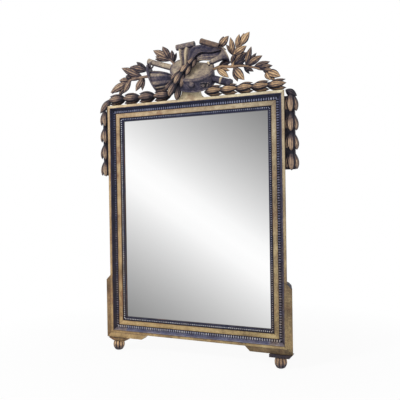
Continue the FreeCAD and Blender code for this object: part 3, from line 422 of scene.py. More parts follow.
# Faces that meet flatter than the first angle are one face; edges sharper than the second are worn.
FLAT_ANGLE = radians(2)
EDGE_ANGLE = radians(30)


def softened(node, look, width, relief, top_look=None):
    """A copy of a CAD node with worn, rounded edges; top_look is for the faces that look upward."""
    form = bmesh.new()
    form.from_mesh(nodes[node].data)
    bmesh.ops.remove_doubles(form, verts=form.verts, dist=CAD_JOIN_DISTANCE)
    bmesh.ops.dissolve_limit(form, angle_limit=FLAT_ANGLE, verts=form.verts, edges=form.edges)
    edges = [e for e in form.edges if len(e.link_faces) == 2 and e.calc_face_angle() > EDGE_ANGLE]
    bmesh.ops.bevel(
        form, geom=edges, offset=width * MM, segments=2, profile=0.6, affect="EDGES", clamp_overlap=True)
    form.normal_update()
    layer = form.verts.layers.float.new("relief")
    for vert in form.verts:
        turned_up = top_look and vert.normal.z > UPWARD
        vert[layer] = relief * (TOP_FACE_SHARE if turned_up else 1.0)
    mesh = bpy.data.meshes.new(node + "_worn")
    form.to_mesh(mesh)
    form.free()
    dress(node + "_worn", mesh, look, [node], sharp=35)
    if top_look:
        mesh.materials.append(top_look)
        for face in mesh.polygons:
            face.material_index = int(face.normal.z > UPWARD)


# Turned forms keep their full relief, as painted light, on the sides turned to this direction, and are
# darkened as painted shade on the sides turned away.
PAINTED_LIGHT_FROM = Vector((0.2, -0.9, 0.38)).normalized()


def turned(work, start, axis, profile, sides, lobes=0, lobe_depth=0.0, side_shade=1.0):
    """A turned form along an axis: profile of (radius, height, relief) in mm, with lobes if asked.

    The last argument is the share of the relief kept on the sides turned away from the front and the light;
    that darkening is painted shade."""
    turn = axis.to_track_quat("Z", "Y").to_matrix()

    def point(ring, angle):
        radius, height, relief = ring
        ridge = abs(cos(angle * lobes / 2)) ** 0.7 if lobes else 1.0
        size = radius * MM * (1 - lobe_depth * (1 - ridge))
        outward = Vector((cos(angle), sin(angle), 0))
        painted_light = mixed(side_shade, 1.0, smooth(0.05, 0.75, (turn @ outward).dot(PAINTED_LIGHT_FROM)))
        place = outward * size + UP * (height * MM)
        return start + turn @ place, relief * mixed(0.25, 1.0, ridge) * painted_light

    work.loft(profile, around(sides), point)


def tube(work, path, radii, sides, shade):
    """A round bar along a path; shade gives the relief from (share along, height of the side)."""
    last = len(path) - 1

    def point(i, angle):
        along = (path[min(i + 1, last)] - path[max(i - 1, 0)]).normalized()
        across = along.cross(FRONT).normalized()
        side = across * cos(angle) + across.cross(along) * sin(angle)
        return path[i] + side * radii[i], shade(i / last, sin(angle))

    work.loft(range(len(path)), around(sides), point)


# Frame mouldings. Each side has its inward direction, its run, the corner where it starts and its length.
SIDES = {
    "top": (DOWN, LEFT, Vector((HALF_X, FRAME_BACK, RAIL_TOP)), 2 * HALF_X),
    "bottom": (UP, RIGHT, Vector((-HALF_X, FRAME_BACK, -RAIL_TOP)), 2 * HALF_X),
    "left": (RIGHT, DOWN, Vector((-HALF_X, FRAME_BACK, RAIL_TOP)), 2 * RAIL_TOP),
    "right": (LEFT, UP, Vector((HALF_X, FRAME_BACK, -RAIL_TOP)), 2 * RAIL_TOP),
}
# In a profile, u runs inward from the outer edge and v forward from the back, in mm. First the u where the
# fillet, cove, frieze and sight moulding end and where the plate's rebate starts, then the v of their faces.
FILLET_END = 12
COVE_END = 37
FRIEZE_END = 58
SIGHT_END = 74
REBATE = 64
FILLET_FACE = 40
COVE_BED = 26
FRIEZE_FACE = 28
SIGHT_BED = 22
REBATE_FACE = 17
# The sides slope in towards the wall by SIDE_BEVEL, from SIDE_EDGE back.
SIDE_EDGE = 35
SIDE_BEVEL = 12
BACK_SET = 0.25

# Tones of the outer fillet above and below the tops of the ears, and of the frieze.
FILLET_TONES = {"top": (0.82, 0.82), "left": (0.60, 0.56), "right": (0.57, 0.45), "bottom": (0.55, 0.55)}
FRIEZE_TONES = {"top": 0.62, "left": 0.61, "right": 0.57, "bottom": 0.66}


def rail_face(side, beside_ear=False):
    fillet, frieze = FILLET_TONES[side][beside_ear], FRIEZE_TONES[side]
    return (
        (0, FILLET_FACE, fillet * 0.8), (2.2, FILLET_FACE + 0.2, fillet),
        (FILLET_END - 2.6, FILLET_FACE + 0.2, fillet), (FILLET_END, FILLET_FACE, fillet * 0.55),
        (FILLET_END, COVE_BED, 0.08), (COVE_END, COVE_BED, 0.05), (COVE_END, FRIEZE_FACE, 0.2),
        (COVE_END + 2, FRIEZE_FACE + 0.4, frieze * 0.9),
        ((COVE_END + FRIEZE_END) / 2, FRIEZE_FACE + 0.8, frieze),
        (FRIEZE_END - 2, FRIEZE_FACE + 0.4, frieze * 0.92), (FRIEZE_END, FRIEZE_FACE, 0.25),
        (FRIEZE_END, SIGHT_BED, 0.06), (SIGHT_END, SIGHT_BED, 0.1), (SIGHT_END, REBATE_FACE, 0.1),
        (REBATE, REBATE_FACE, 0.1), (REBATE, BACK_SET, 0.2))


BEVELLED_SIDE = ((SIDE_BEVEL, BACK_SET, 0.2), (0, SIDE_EDGE, 0.3))
SQUARE_SIDE = ((0, BACK_SET, 0.2),)
# The cove's quarter circle: its middle u and v, its radius, and how much painted light lifts it on each side.
COVE_U = 24.5
COVE_V = 38.5
COVE_RADIUS = 10
COVE_PAINTED_LIGHT = {"top": 0.0, "left": 0.0, "right": 0.20, "bottom": 0.44}


def cove_face(side):
    """The hollow outside the pearls and their bed; it is painted lighter where it is turned to the light, and
    lifted on some sides by painted light.
    """
    hollow = []
    for angle in (pi / 2 * share for share in steps(8)):
        tone = mixed(0.34, 0.1, sin(angle) ** 0.5) + COVE_PAINTED_LIGHT[side]
        hollow.append((COVE_U - COVE_RADIUS * cos(angle), COVE_V - COVE_RADIUS * sin(angle), tone))
    return (
        (FILLET_END, COVE_BED, 0.1), (FILLET_END, COVE_V, 0.5), *hollow, (25.5, 28.2, 0.05),
        (30.3, 27.8, 0.0), (35.6, 28.2, 0.03), (COVE_END, 28.4, 0.12), (COVE_END, COVE_BED, 0.1))


SIGHT = (
    (FRIEZE_END, SIGHT_BED, 0.05), (FRIEZE_END, 25, 0.2), (61.5, 24.6, 0.06), (65, 24.4, 0.04),
    (68.6, 24.7, 0.08), (69.4, 25.2, 0.22), (SIGHT_END, 23, 0.26), (SIGHT_END, SIGHT_BED, 0.2))
# Courses of pearls: place u and v, half width, rise, half length, pitch, and the share of the rise above
# which their painted highlight is full; then the tone of the painted highlight on their tops.
COVE_BEADS = (30.3, 28.0, 6.0, 5.0, 3.4, 10.5, 0.4)
COVE_BEAD_HIGHLIGHTS = {"top": 0.79, "left": 0.57, "right": 0.62, "bottom": 0.85}
SIGHT_BEADS = (65, 24.5, 3.3, 3.4, 2.6, 9.0, 0.6)
SIGHT_BEAD_HIGHLIGHTS = {"top": 0.82, "left": 0.96, "right": 0.74, "bottom": 0.95}

# Corners of a profile that turn more than this are worn round, over this share of an edge at most.
WORN_CORNER = radians(25)
WORN_SHARE = 0.4


def rounded(corners, radius):
    """A profile whose sharp corners are worn round."""
    points = []
    for i, (u, v, relief) in enumerate(corners):
        before = Vector(corners[i - 1][:2])
        here = Vector((u, v))
        after = Vector(corners[(i + 1) % len(corners)][:2])
        if (here - before).angle(after - here) < WORN_CORNER:
            points.append((u, v, relief))
            continue
        near = here.lerp(before, min(WORN_SHARE, radius / (before - here).length))
        far = here.lerp(after, min(WORN_SHARE, radius / (after - here).length))
        for t in (0, 0.33, 0.67, 1):
            place = near * (1 - t) ** 2 + here * 2 * t * (1 - t) + far * t ** 2
            points.append((place.x, place.y, relief))
    return points


def along_side(side, u, v, t):
    inward, along, corner, _ = SIDES[side]
    return corner + inward * (u * MM) + FRONT * (v * MM) + along * t


MOULDING_STEP = 0.012
# The dark line of a mitre takes up this share of a step, and keeps this share of the relief.
MITRE_STEP = 0.08
MITRE_TONE = 0.45
HAND_WORK = 0.25 * MM


def moulding(work, side, profile, span=(0.0, 1.0)):
    """A profile run along one side of the frame, mitred at the corners; span is its share of the side."""
    length = SIDES[side][3]
    count = int(length * (span[1] - span[0]) / MOULDING_STEP)

    def point(step, corner):
        u, v, relief = corner
        inset = max(u, SIDE_BEVEL * clamp(1 - v / SIDE_EDGE)) if side == "top" else u
        share = mixed(*span, step / count)
        place = along_side(side, u, v, mixed(inset * MM, length - inset * MM, share))
        sway = noise.noise(place * 45) * HAND_WORK
        return place + FRONT * sway, relief * (MITRE_TONE if step in (0, count) else 1.0)

    work.loft((0, MITRE_STEP, *range(1, count), count - MITRE_STEP, count), profile, point)


PEARL_RINGS = [pi / 2 * share for share in steps(5)]
PEARL_SIDES = around(10)


def beads(work, side, u, v, half_width, rise, half_length, pitch, highlight_rise, tone):
    """A course of carved pearls, each a little different, from mitre to mitre, dark at the foot and with a
    painted highlight on top.
    """
    inward, along, _, length = SIDES[side]
    run = length - 2 * u * MM
    count = round(run / (pitch * MM))
    for i in range(count):
        middle = along_side(side, u, v, u * MM + run * (i + 0.5) / count)
        size = (1 + 0.08 * noise.noise(middle * 310)) * MM
        # The top tone is a painted highlight, varied a little from pearl to pearl.
        top_highlight = tone + 0.05 * noise.noise(middle * 90)

        def point(lift, angle):
            place = middle + FRONT * (size * rise * sin(lift))
            place += inward * (size * half_width * cos(lift) * cos(angle))
            place += along * (size * half_length * cos(lift) * sin(angle))
            return place, mixed(0.1, top_highlight, smooth(0.1, highlight_rise, sin(lift)))

        work.loft(PEARL_RINGS, PEARL_SIDES, point, capped=False)


# Spans of the stiles above the ears and beside them.
ear_share = (RAIL_TOP - EAR_TOP) / (2 * RAIL_TOP)
STILE_SPANS = {
    "left": ((0.0, ear_share), (ear_share, 1.0)),
    "right": ((1 - ear_share, 1.0), (0.0, 1 - ear_share)),
}
for side, node in (("top", "top_rail"), ("bottom", "bottom_rail"),
                   ("left", "left_stile"), ("right", "right_stile")):
    rail = Carving()
    if side in STILE_SPANS:
        upper, lower = STILE_SPANS[side]
        moulding(rail, side, rounded(BEVELLED_SIDE + rail_face(side), 0.9), upper)
        moulding(rail, side, rounded(SQUARE_SIDE + rail_face(side, True), 0.3), lower)
    else:
        moulding(rail, side, rounded(SQUARE_SIDE + rail_face(side), 0.6))
    rail.finish(node + "_worn", GILDING, "gilt_frame", node, cut_back=False, sharp=40)

    # Each course of pearls gets the tone of its painted highlight for this side.
    for course, face, wear, pearls, bead_highlights in (
            ("cove", cove_face(side), 0.6, COVE_BEADS, COVE_BEAD_HIGHLIGHTS),
            ("sight", SIGHT, 0.5, SIGHT_BEADS, SIGHT_BEAD_HIGHLIGHTS)):
        work = Carving()
        moulding(work, side, rounded(face, wear))
        beads(work, side, *pearls, bead_highlights[side])
        work.finish(
            f"{side}_{course}_pearls", PAINT, "dark_moulding", f"{side}_{course}_bead", cut_back=False)

for node, tone in (("left_side_ear", 0.44), ("left_bottom_ear", 0.64),
                   ("right_side_ear", 0.42), ("right_bottom_ear", 0.32), ("left_foot_block", 0.42)):
    softened(node, GILDING, 0.8, tone, PAINT)
# The right foot block is painted dark, as the shade it stands in.
softened("right_foot_block", PAINT, 1.4, 0.18)
softened("crest_plinth", GILDING, 1.2, 0.88)
for node in ("left_back_board", "middle_back_board", "right_back_board", "crest_batten"):
    softened(node, WOOD, 0.8, 0.5)

# Bun feet, their lobes carved like closing leaves.
FOOT_STEPS = 14
FOOT_LOBES = 10
# A foot is painted darker towards its base and at its neck, as the shade under its belly and under the block,
# and its whole relief is scaled by a painted sheen that is brighter on the left foot.
for side, painted_sheen in (("left", 0.95), ("right", 0.72)):
    low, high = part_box(f"{side}_foot")
    belly = (high.x - low.x) / 2 / MM
    tall = (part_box(f"{side}_foot_block")[0].z - low.z) / MM
    profile = [(1, 0, 0.2), (belly * 0.4, 0, 0.25)]
    for share in steps(FOOT_STEPS)[1:]:
        swell = sin(pi * mixed(0.16, 0.73, share)) ** 0.8
        relief = painted_sheen * mixed(0.35, 1.0, smooth(0.1, 0.75, share))
        profile.append((belly * swell, tall * share * 0.95, relief))
    profile += [(belly * 0.7, tall * 0.97, 0.3), (belly * 0.68, tall, 0.2)]
    foot = Carving()
    middle = Vector(((low.x + high.x) / 2, (low.y + high.y) / 2, low.z))
    turned(foot, middle, UP, profile, 12 * FOOT_LOBES, FOOT_LOBES, 0.16)
    foot.finish(f"{side}_carved_foot", LEAF_GILT, "gilt_carving", f"{side}_foot", cut_back=False)

# Leaves
LEAF_STEPS = 16
TOP_STEPS = 18
UNDER_STEPS = 6


def fluted_leaf(s, a):
    """Height and relief of a plump garland leaf: lengthwise flutes over a full crown, painted lighter on the
    crown and the ridges of the flutes, with painted shade along the edges and at the base, and a little
    darker at the tip.
    """
    flutes = cos(pi * a * 4)
    crown = 1 - a ** 1.7
    height = crown + 0.10 * flutes * (1 - 0.4 * a)
    relief = 0.30 + 0.40 * crown + 0.22 * flutes - 0.75 * smooth(0.62, 0.95, a)
    return height, relief * mixed(0.2, 1.05, smooth(0.0, 0.42, s)) * mixed(1.0, 0.7, smooth(0.85, 1.0, s))


def hanging_leaf(s, a):
    """A garland leaf whose base is painted in the shadow of the leaf before it, with a painted highlight
    towards its tip.
    """
    height, relief = fluted_leaf(s, a)
    return height, relief * mixed(0.3, 1.2, smooth(0.1, 0.7, s))


def laurel_leaf(s, a):
    """Height and relief of a laurel leaf: a raised midrib between two long furrows, painted lighter on the
    midrib and ridges, with painted shade along its edges and at its base.
    """
    flutes = cos(pi * a * 3)
    vein = cos(2 * pi * (4 * s - 1.2 * a)) * 4 * a * (1 - a)
    height = 0.9 * (1 - a ** 1.5) + 0.12 * flutes * (1 - 0.5 * a) + 0.05 * vein
    relief = 0.29 + 0.33 * (1 - a ** 2) + 0.26 * flutes + 0.08 * vein - 0.8 * smooth(0.66, 0.95, a)
    return height, relief * mixed(0.45, 1.0, smooth(0.0, 0.45, s))


# Outlines of leaves: skew of the widest place, bluntness of the base and of the tip.
ALMOND = (0.95, 0.85, 1.0)
POINTED = (0.95, 0.75, 0.95)
HANGING = (1.5, 0.8, 0.66)
# A leaf's half turned to LIT_FROM gets a painted highlight and the other half painted shade, by LIT_SHARE of
# the relief.
LIT_FROM = Vector((-0.45, 0, 0.85))
LIT_SHARE = 0.22


def add_leaf(work, base, tip, width, thickness, face=FRONT, surface=laurel_leaf, bow=0.25, bright=0.0,
             outline=ALMOND):
    skew, base_end, tip_end = outline
    run = tip - base
    along = run.normalized()
    across = along.cross(face).normalized()
    outward = across.cross(along)
    lit = LIT_SHARE * across.dot(LIT_FROM)
    rows = []
    for s in steps(LEAF_STEPS):
        swell = sin(pi * s ** skew) ** mixed(base_end, tip_end, s) if 0 < s < 1 else 0.0
        sway = 0.05 * width * noise.noise(base * 60 + Vector((s * 2, 0, 0)))
        middle = base + run * s + outward * (bow * thickness * 4 * s * (1 - s)) + across * sway * swell
        row = []
        for c in (2 * share - 1 for share in steps(TOP_STEPS)):
            height, relief = surface(s, abs(c))
            rise = outward * (thickness * 0.6 * swell * height)
            row.append((middle + across * (width / 2 * swell * c) + rise, relief + bright + lit * c))
        for c in (1 - 2 * share for share in steps(UNDER_STEPS)[1:-1]):
            drop = outward * (thickness * 0.4 * swell * (1 - c * c))
            row.append((middle + across * (width / 2 * swell * c) - drop, 0.2))
        rows.append(row)
    work.grid(rows, closed=True)


GARLAND_WIDTH = 32 * MM
GARLAND_THICKNESS = 20 * MM
STRIP_STEPS = 40
STRIP_THICKNESS = 14


def strip(work, near, far, half_width, front):
    """The strip that leaves are carved on, its front face that many millimetres off the wall, painted dark as
    the shade between the leaves.
    """
    across = (far - near).normalized().cross(FRONT)
    back = front - STRIP_THICKNESS
    edges = ((1, front), (0.4, front), (-0.4, front), (-1, front), (-1, back), (1, back))

    def point(share, edge):
        side, forward = edge
        middle = near.lerp(far, share)
        middle.y = 0
        place = middle + across * (half_width * side) + FRONT * (forward * MM)
        rough = noise.noise(place * 120)
        # The front, seen between the leaves, is painted near black as shade; the back is lighter.
        relief = (0.05 if forward == front else 0.3) + 0.05 * rough
        return place + FRONT * (rough * 0.8 * MM) + across * (rough * side * MM), relief

    work.loft(steps(STRIP_STEPS), edges, point)


# A leaf at the side of a bunch: its size, and the painted shade that makes it darker than the one in front.
SIDE_LEAF = 0.8
SIDE_LEAF_SHADE = -0.16


def bunch(work, start, end, face=FRONT, scale=1.0, spread=0.62, bright=0.0, outline=ALMOND,
          surface=fluted_leaf):
    """Three overlapping leaves: one in front and one to each side of it, half behind."""
    width = GARLAND_WIDTH * scale
    thickness = GARLAND_THICKNESS * scale
    run = end - start
    across = run.normalized().cross(face).normalized()
    outward = across.cross(run).normalized()
    add_leaf(work, start - run * 0.1, end, width, thickness, face, surface, bright=bright, outline=outline)
    for sign in (-1, 1):
        base = start - run * 0.08 - outward * (thickness * 0.35) + across * (width * 0.1 * sign)
        tip = start + run * 0.95 - outward * (thickness * 0.45) + across * (width * spread * sign)
        lean = outward + across * (0.6 * sign)
        add_leaf(
            work, base, tip, width * SIDE_LEAF, thickness * SIDE_LEAF, lean, surface,
            bright=bright + SIDE_LEAF_SHADE, outline=outline)


# Garlands on the top rail and drops down the sides; the corner of the frame is that far from the middle.
CORNER = HALF_X / MM
GARLAND_FORWARD = 34
GARLAND_HEIGHT = 30
GARLAND_STRIP = 18
# Side, direction from the middle, start, bunches, tone, size of a bunch, height and rise of the tips.
for name, sign, start, count, bright, scale, middle, tip_up in (
        ("left", -1, 104, 4, -0.15, 1.2, 29, 0), ("right", 1, 70, 5, -0.03, 1.08, 27, 5)):
    garland = Carving()
    pitch = (CORNER - start) / count
    for i in range(count):
        near = crest((start + pitch * i) * sign, middle - tip_up / 2, GARLAND_FORWARD)
        far = crest((start + pitch * (i + 1.1)) * sign, middle + tip_up / 2, GARLAND_FORWARD)
        bunch(garland, near, far, scale=scale, spread=0.5, bright=bright)
    strip(
        garland, crest(start * sign, GARLAND_HEIGHT, 0), crest((CORNER - 20) * sign, GARLAND_HEIGHT, 0),
        GARLAND_STRIP / 2 * MM, GARLAND_FORWARD)
    # The left garland ends in a leaf that hangs over the corner.
    if name == "left":
        add_leaf(
            garland, crest((CORNER - 16) * sign, GARLAND_HEIGHT + 4, GARLAND_FORWARD),
            crest((CORNER + 52) * sign, -28, GARLAND_FORWARD), GARLAND_WIDTH * 1.15, GARLAND_THICKNESS,
            surface=fluted_leaf, bright=bright)
    look = DARKER_COOLER_GILT if name == "left" else LEAF_GILT
    garland.finish(f"{name}_leaf_garland", look, "gilt_carving", f"{name}_garland")

DROP_OFFSET = 23
DROP_STRIP_REACH = 14
DROP_STRIP_LET_IN = 9
DROP_LENGTH = 312
DROP_BUNCHES = 4
DROP_START = -8
for name, sign, spread, bright in (("left", -1, 0.78, -0.11), ("right", 1, 0.6, -0.06)):
    drop = Carving()
    pitch = DROP_LENGTH / DROP_BUNCHES
    x = (CORNER + DROP_OFFSET) * sign
    for i in range(DROP_BUNCHES):
        near = crest(x, DROP_START - pitch * i, GARLAND_FORWARD)
        far = crest(x, DROP_START - pitch * (i + 1.06), GARLAND_FORWARD)
        bunch(drop, near, far, FRONT, 1.05, spread, bright, HANGING, hanging_leaf)
    strip_x = (CORNER + (DROP_OFFSET + DROP_STRIP_REACH - DROP_STRIP_LET_IN) / 2) * sign
    strip(
        drop, crest(strip_x, DROP_START - pitch * 0.2, 0), crest(strip_x, DROP_START - DROP_LENGTH, 0),
        (DROP_OFFSET + DROP_STRIP_REACH + DROP_STRIP_LET_IN) / 2 * MM, GARLAND_FORWARD - 2)
    # On the right a dark leaf lies between the garland and the drop.
    if name == "right":
        add_leaf(
            drop, crest(CORNER, 2, GARLAND_FORWARD - 4), crest(CORNER + 48, -26, GARLAND_FORWARD - 6),
            GARLAND_WIDTH, GARLAND_THICKNESS * 0.7, surface=fluted_leaf, bright=-0.6)
    drop.finish(f"{name}_leaf_drop", DARKER_COOLER_GILT, "gilt_carving", f"{name}_drop")

# Chain of bunches that hangs over the drum: it lies on the skin first and then falls down the front.
chain = Carving()
TIPPED = Vector((0, -0.8, 0.6))
for start, end, face, size, bright in (
        (crest(28, 178, 38), crest(2, 138, 64), TIPPED, 0.72, -0.08),
        (crest(10, 152, 56), crest(-22, 102, 88), TIPPED, 0.86, -0.02),
        (crest(-12, 116, 84), crest(-54, 60, 84), FRONT, 0.98, -0.06),
        (crest(-38, 80, 80), crest(-94, 16, 60), FRONT, 1.2, -0.16)):
    bunch(chain, start, end, face, size, 0.95, bright, HANGING, hanging_leaf)
chain.finish("hanging_leaf_chain", DARKER_COOLER_GILT, "gilt_carving", "leaf_chain")

# Laurel branches: stems as paths, leaves as base x and height, tip x and height, width, lift of the
# tip, and how much brighter or darker the leaf is than its branch.
BRANCH_THICKNESS = 12 * MM
LEAF_FULLNESS = 1.2
# Behind each leaf lies a smaller one, turned aside by this angle and painted darker, as shade.
UNDER_LEAF_TURN = radians(24)
UNDER_LEAF_LENGTH = 0.82
UNDER_LEAF_WIDTH = 0.72
UNDER_LEAF_DROP = 7
UNDER_LEAF_SHADE = -0.2
STEM_RADIUS = 7 * MM
LEFT_STEMS = (
    ((-200, 122), (-297, 116), (-320, 104), (-406, 63)),
    ((-206, 122), (-222, 150)),
)
LEFT_LEAVES = (
    (-243, 120, -351, 173, 31, 4, -0.04), (-220, 146, -305, 172, 30, 6, -0.16),
    (-305, 112, -369, 117, 24, -3, -0.06), (-296, 117, -329, 134, 20, 5, -0.35),
    (-318, 105, -412, 64, 32, 6, 0.06), (-304, 112, -343, 57, 25, -2, 0.06),
    (-238, 119, -277, 58, 26, 5, 0.1),
)
LEFT_SPRIG_STEMS = (((-80, 150), (-88, 170), (-108, 189)),)
LEFT_SPRIG_LEAVES = (
    (-106, 187, -185, 234, 28, 4, 0.04), (-98, 180, -178, 207, 24, -2, 0.0),
    (-102, 184, -137, 246, 28, 5, -0.08), (-88, 170, -93, 226, 22, 0, -0.14),
)
RIGHT_STEMS = (
    ((90, 112), (137, 127), (185, 121), (235, 119), (287, 107), (343, 88)),
    ((192, 118), (202, 165), (214, 195), (234, 206)),
)
RIGHT_LEAVES = (
    (201, 165, 184, 246, 22, -2, -0.04), (212, 192, 226, 253, 21, 2, 0.04),
    (230, 204, 273, 255, 28, 6, 0.12), (201, 168, 260, 198, 28, 8, 0.0),
    (196, 124, 259, 177, 26, -6, -0.38), (252, 118, 276, 197, 23, -4, -0.14),
    (256, 117, 326, 151, 26, 4, -0.14), (286, 108, 356, 124, 22, -2, -0.28),
    (304, 102, 369, 105, 20, 4, -0.26), (338, 88, 402, 57, 30, 5, 0.1),
    (340, 86, 357, 47, 25, 0, 0.08), (196, 118, 248, 57, 31, 8, 0.02),
    (120, 122, 178, 75, 23, 4, 0.12), (240, 118, 284, 92, 16, -8, -0.4),
    (124, 126, 186, 146, 18, -12, -0.42), (206, 122, 250, 146, 18, -10, -0.42),
    (206, 176, 190, 130, 17, 9, -0.3), (204, 140, 240, 168, 15, 10, -0.14),
    (262, 114, 306, 138, 15, 8, -0.3), (322, 96, 372, 84, 16, 7, -0.12),
)
RIGHT_SPRIG_STEMS = (((122, 196), (138, 212)),)
RIGHT_SPRIG_LEAVES = ((132, 206, 179, 252, 28, 3, 0.0),)

for name, stems, leaves, forward, bright in (
        ("left_branch", LEFT_STEMS, LEFT_LEAVES, 28, 0.0),
        ("left_sprig", LEFT_SPRIG_STEMS, LEFT_SPRIG_LEAVES, 26, 0.0),
        ("right_branch", RIGHT_STEMS, RIGHT_LEAVES, 28, 0.06),
        ("right_sprig", RIGHT_SPRIG_STEMS, RIGHT_SPRIG_LEAVES, 26, 0.0)):
    work = Carving()
    for path in stems:
        places = [crest(x, height, forward) for x, height in path]
        curve = flow(places, 8 * (len(places) - 1))
        radii = [STEM_RADIUS * mixed(1.0, 0.6, i / (len(curve) - 1))
                 * (1 + 0.15 * noise.noise(place * 90)) for i, place in enumerate(curve)]
        # A stem is painted lighter on its front and darker at its sides, as light and shade, and darker
        # towards its tip.
        tube(work, curve, radii, 10, lambda share, side: mixed(0.44, 0.2, share) + 0.3 * side + bright)
    for i, (base_x, base_height, tip_x, tip_height, width, lift, change) in enumerate(leaves):
        base = crest(base_x, base_height, forward)
        tip = crest(tip_x, tip_height, forward + lift)
        full = width * LEAF_FULLNESS * MM
        tone = bright + change
        add_leaf(work, base, tip, full, BRANCH_THICKNESS, bright=tone, outline=POINTED)
        turn = Matrix.Rotation(UNDER_LEAF_TURN * (1 if i % 2 else -1), 3, "Y")
        behind = base - FRONT * (UNDER_LEAF_DROP * MM)
        add_leaf(
            work, behind, behind + turn @ (tip - base) * UNDER_LEAF_LENGTH, full * UNDER_LEAF_WIDTH,
            BRANCH_THICKNESS, bright=tone + UNDER_LEAF_SHADE, outline=POINTED)
    look = DARKER_COOLER_GILT if name.startswith("left") else LEAF_GILT
    work.finish("laurel_" + name, look, "gilt_carving", name)

# Tambourine: a leaning oval skin with a hoop at each end of its shell.
DRUM_MIDDLE = crest(8, 134, 38)
DRUM_AXES = (100 * MM, 77 * MM)
DRUM_SIDES = 96
skin_turn = Matrix.Rotation(radians(12), 3, "Y") @ Matrix.Rotation(radians(50), 3, "X")
SKIN_WIDE = skin_turn @ Vector((1, 0, 0))
SKIN_HIGH = skin_turn @ Vector((0, 1, 0))
SHELL_RUN = Vector((0, 0.36, -0.93)).normalized()


def drum_point(angle, size, depth, extra=0.0):
    """A point of the drum: size is the share of the oval, depth is below the skin, in mm."""
    wide = (DRUM_AXES[0] * size + extra * MM) * cos(angle)
    high = (DRUM_AXES[1] * size + extra * MM) * sin(angle)
    return DRUM_MIDDLE + SKIN_WIDE * wide + SKIN_HIGH * high + SHELL_RUN * (depth * MM)


# From the middle of the skin over the hoops to the back: share of the oval, depth below the skin, lift off
# the shell, relief.
# The upper hoop carries a painted highlight along its edge.
DRUM_RINGS = (
    (0.0, 1.6, 0, 0.68), (0.3, 1.5, 0, 0.70), (0.6, 1.1, 0, 0.68), (0.82, 0.6, 0, 0.66),
    (0.93, 0.2, 0, 0.60), (0.985, 0.4, 0, 0.40), (1, 0.6, 0, 0.28), (1, 0.8, 1.2, 0.46),
    (1, 1.6, 2.4, 0.50), (1, 5, 2.8, 0.40), (1, 9.4, 2.4, 0.34), (1, 10.2, 0.4, 0.12), (1, 12, 0, 0.22),
    (1, 30, 0, 0.28), (1, 45, 0, 0.22), (1, 46.6, 0.4, 0.08), (1, 47.4, 2.3, 0.34), (1, 51, 2.7, 0.36),
    (1, 54.6, 2.3, 0.28), (1, 55.4, 0.6, 0.08), (0.9, 55.8, 0, 0.05), (0.0, 55.8, 0, 0.05),
)
drum = Carving()
drum.grid([
    [(drum_point(angle, size, depth, extra), relief) for angle in around(DRUM_SIDES)]
    for size, depth, extra, relief in DRUM_RINGS], closed=True)

BOSS = crest(24, 52, 75)
BOSS_SUNK = 3 * MM
boss_axis = Vector((0.15, -0.93, 0.25)).normalized()
# The boss darkens round its foot and carries a painted highlight on its crown.
turned(drum, BOSS - boss_axis * BOSS_SUNK, boss_axis, (
    (16, 0, 0.0), (16, 3.4, 0.02), (14.6, 4.4, 0.02), (13.4, 5, 0.06), (13, 8, 0.24), (11, 11.6, 0.38),
    (7, 14.6, 0.48), (2.4, 16, 0.52), (0.2, 16.2, 0.52)), 28)


def shell_point(x, height, lift):
    """The front of the drum's shell at x and height of the crest, in mm, lifted off it."""
    angle = -pi / 2
    for _ in range(12):
        here = drum_point(angle, 1, 0)
        angle += (x * MM - here.x) / DRUM_AXES[0]
    top = drum_point(angle, 1, 0)
    depth = (top.z - RAIL_TOP - height * MM) / (-SHELL_RUN.z * MM)
    return drum_point(angle, 1, depth, lift)


# The slot for the jingles, with a raised rim and a floor painted dark as the shade inside it.
SLOT_X = (58, 95)
SLOT_HEIGHT = (37, 61)
SLOT_SIDES = 48
SLOT_SQUARENESS = 5
SLOT_FLOOR_INSET = 3


def slot_ring(inset, lift, relief):
    """A ring round the slot with rounded corners, inset from its edge and lifted off the shell, in mm."""
    half_x = (SLOT_X[1] - SLOT_X[0]) / 2 - inset
    half_height = (SLOT_HEIGHT[1] - SLOT_HEIGHT[0]) / 2 - inset
    ring = []
    for turn in around(SLOT_SIDES):
        bulge = abs(cos(turn)) ** SLOT_SQUARENESS + abs(sin(turn)) ** SLOT_SQUARENESS
        reach = bulge ** (-1 / SLOT_SQUARENESS)
        x = sum(SLOT_X) / 2 + half_x * reach * cos(turn)
        height = sum(SLOT_HEIGHT) / 2 + half_height * reach * sin(turn)
        ring.append((shell_point(x, height, lift), relief))
    return ring


def slot_floor(rise, run):
    x = mixed(SLOT_X[0] + SLOT_FLOOR_INSET, SLOT_X[1] - SLOT_FLOOR_INSET, run)
    height = mixed(SLOT_HEIGHT[0] + SLOT_FLOOR_INSET, SLOT_HEIGHT[1] - SLOT_FLOOR_INSET, rise)
    return shell_point(x, height, 0.5), 0.02


drum.grid([slot_ring(0, 0.2, 0.5), slot_ring(2.4, 1.8, 0.5)], closed=True)
drum.grid([slot_ring(2.4, 1.8, 0.08), slot_ring(4.0, 0.4, 0.08)], closed=True)
drum.loft(steps(4), steps(8), slot_floor, closed=False, capped=False)
# Two jingles lean apart in the slot.
for x, lean in ((69, 0.5), (84, -0.5)):
    hub = shell_point(x, sum(SLOT_HEIGHT) / 2, 2.0)
    jingle_axis = Vector((lean, -0.8, 0.3)).normalized()
    turned(drum, hub, jingle_axis, (
        (6.8, -1, 0.3), (7, 0.6, 0.78), (5.2, 1.4, 0.62), (3.4, 1.2, 0.36), (2.4, 2.8, 0.8),
        (0.2, 3.4, 0.84)), 18, 6, 0.2)


def finish_trophy(work, node, sharp=SHARP_ANGLE):
    return work.finish("carved_" + node, TROPHY_GILT, "gilt_trophy", node, sharp=sharp)


finish_trophy(drum, "tambourine", 60)

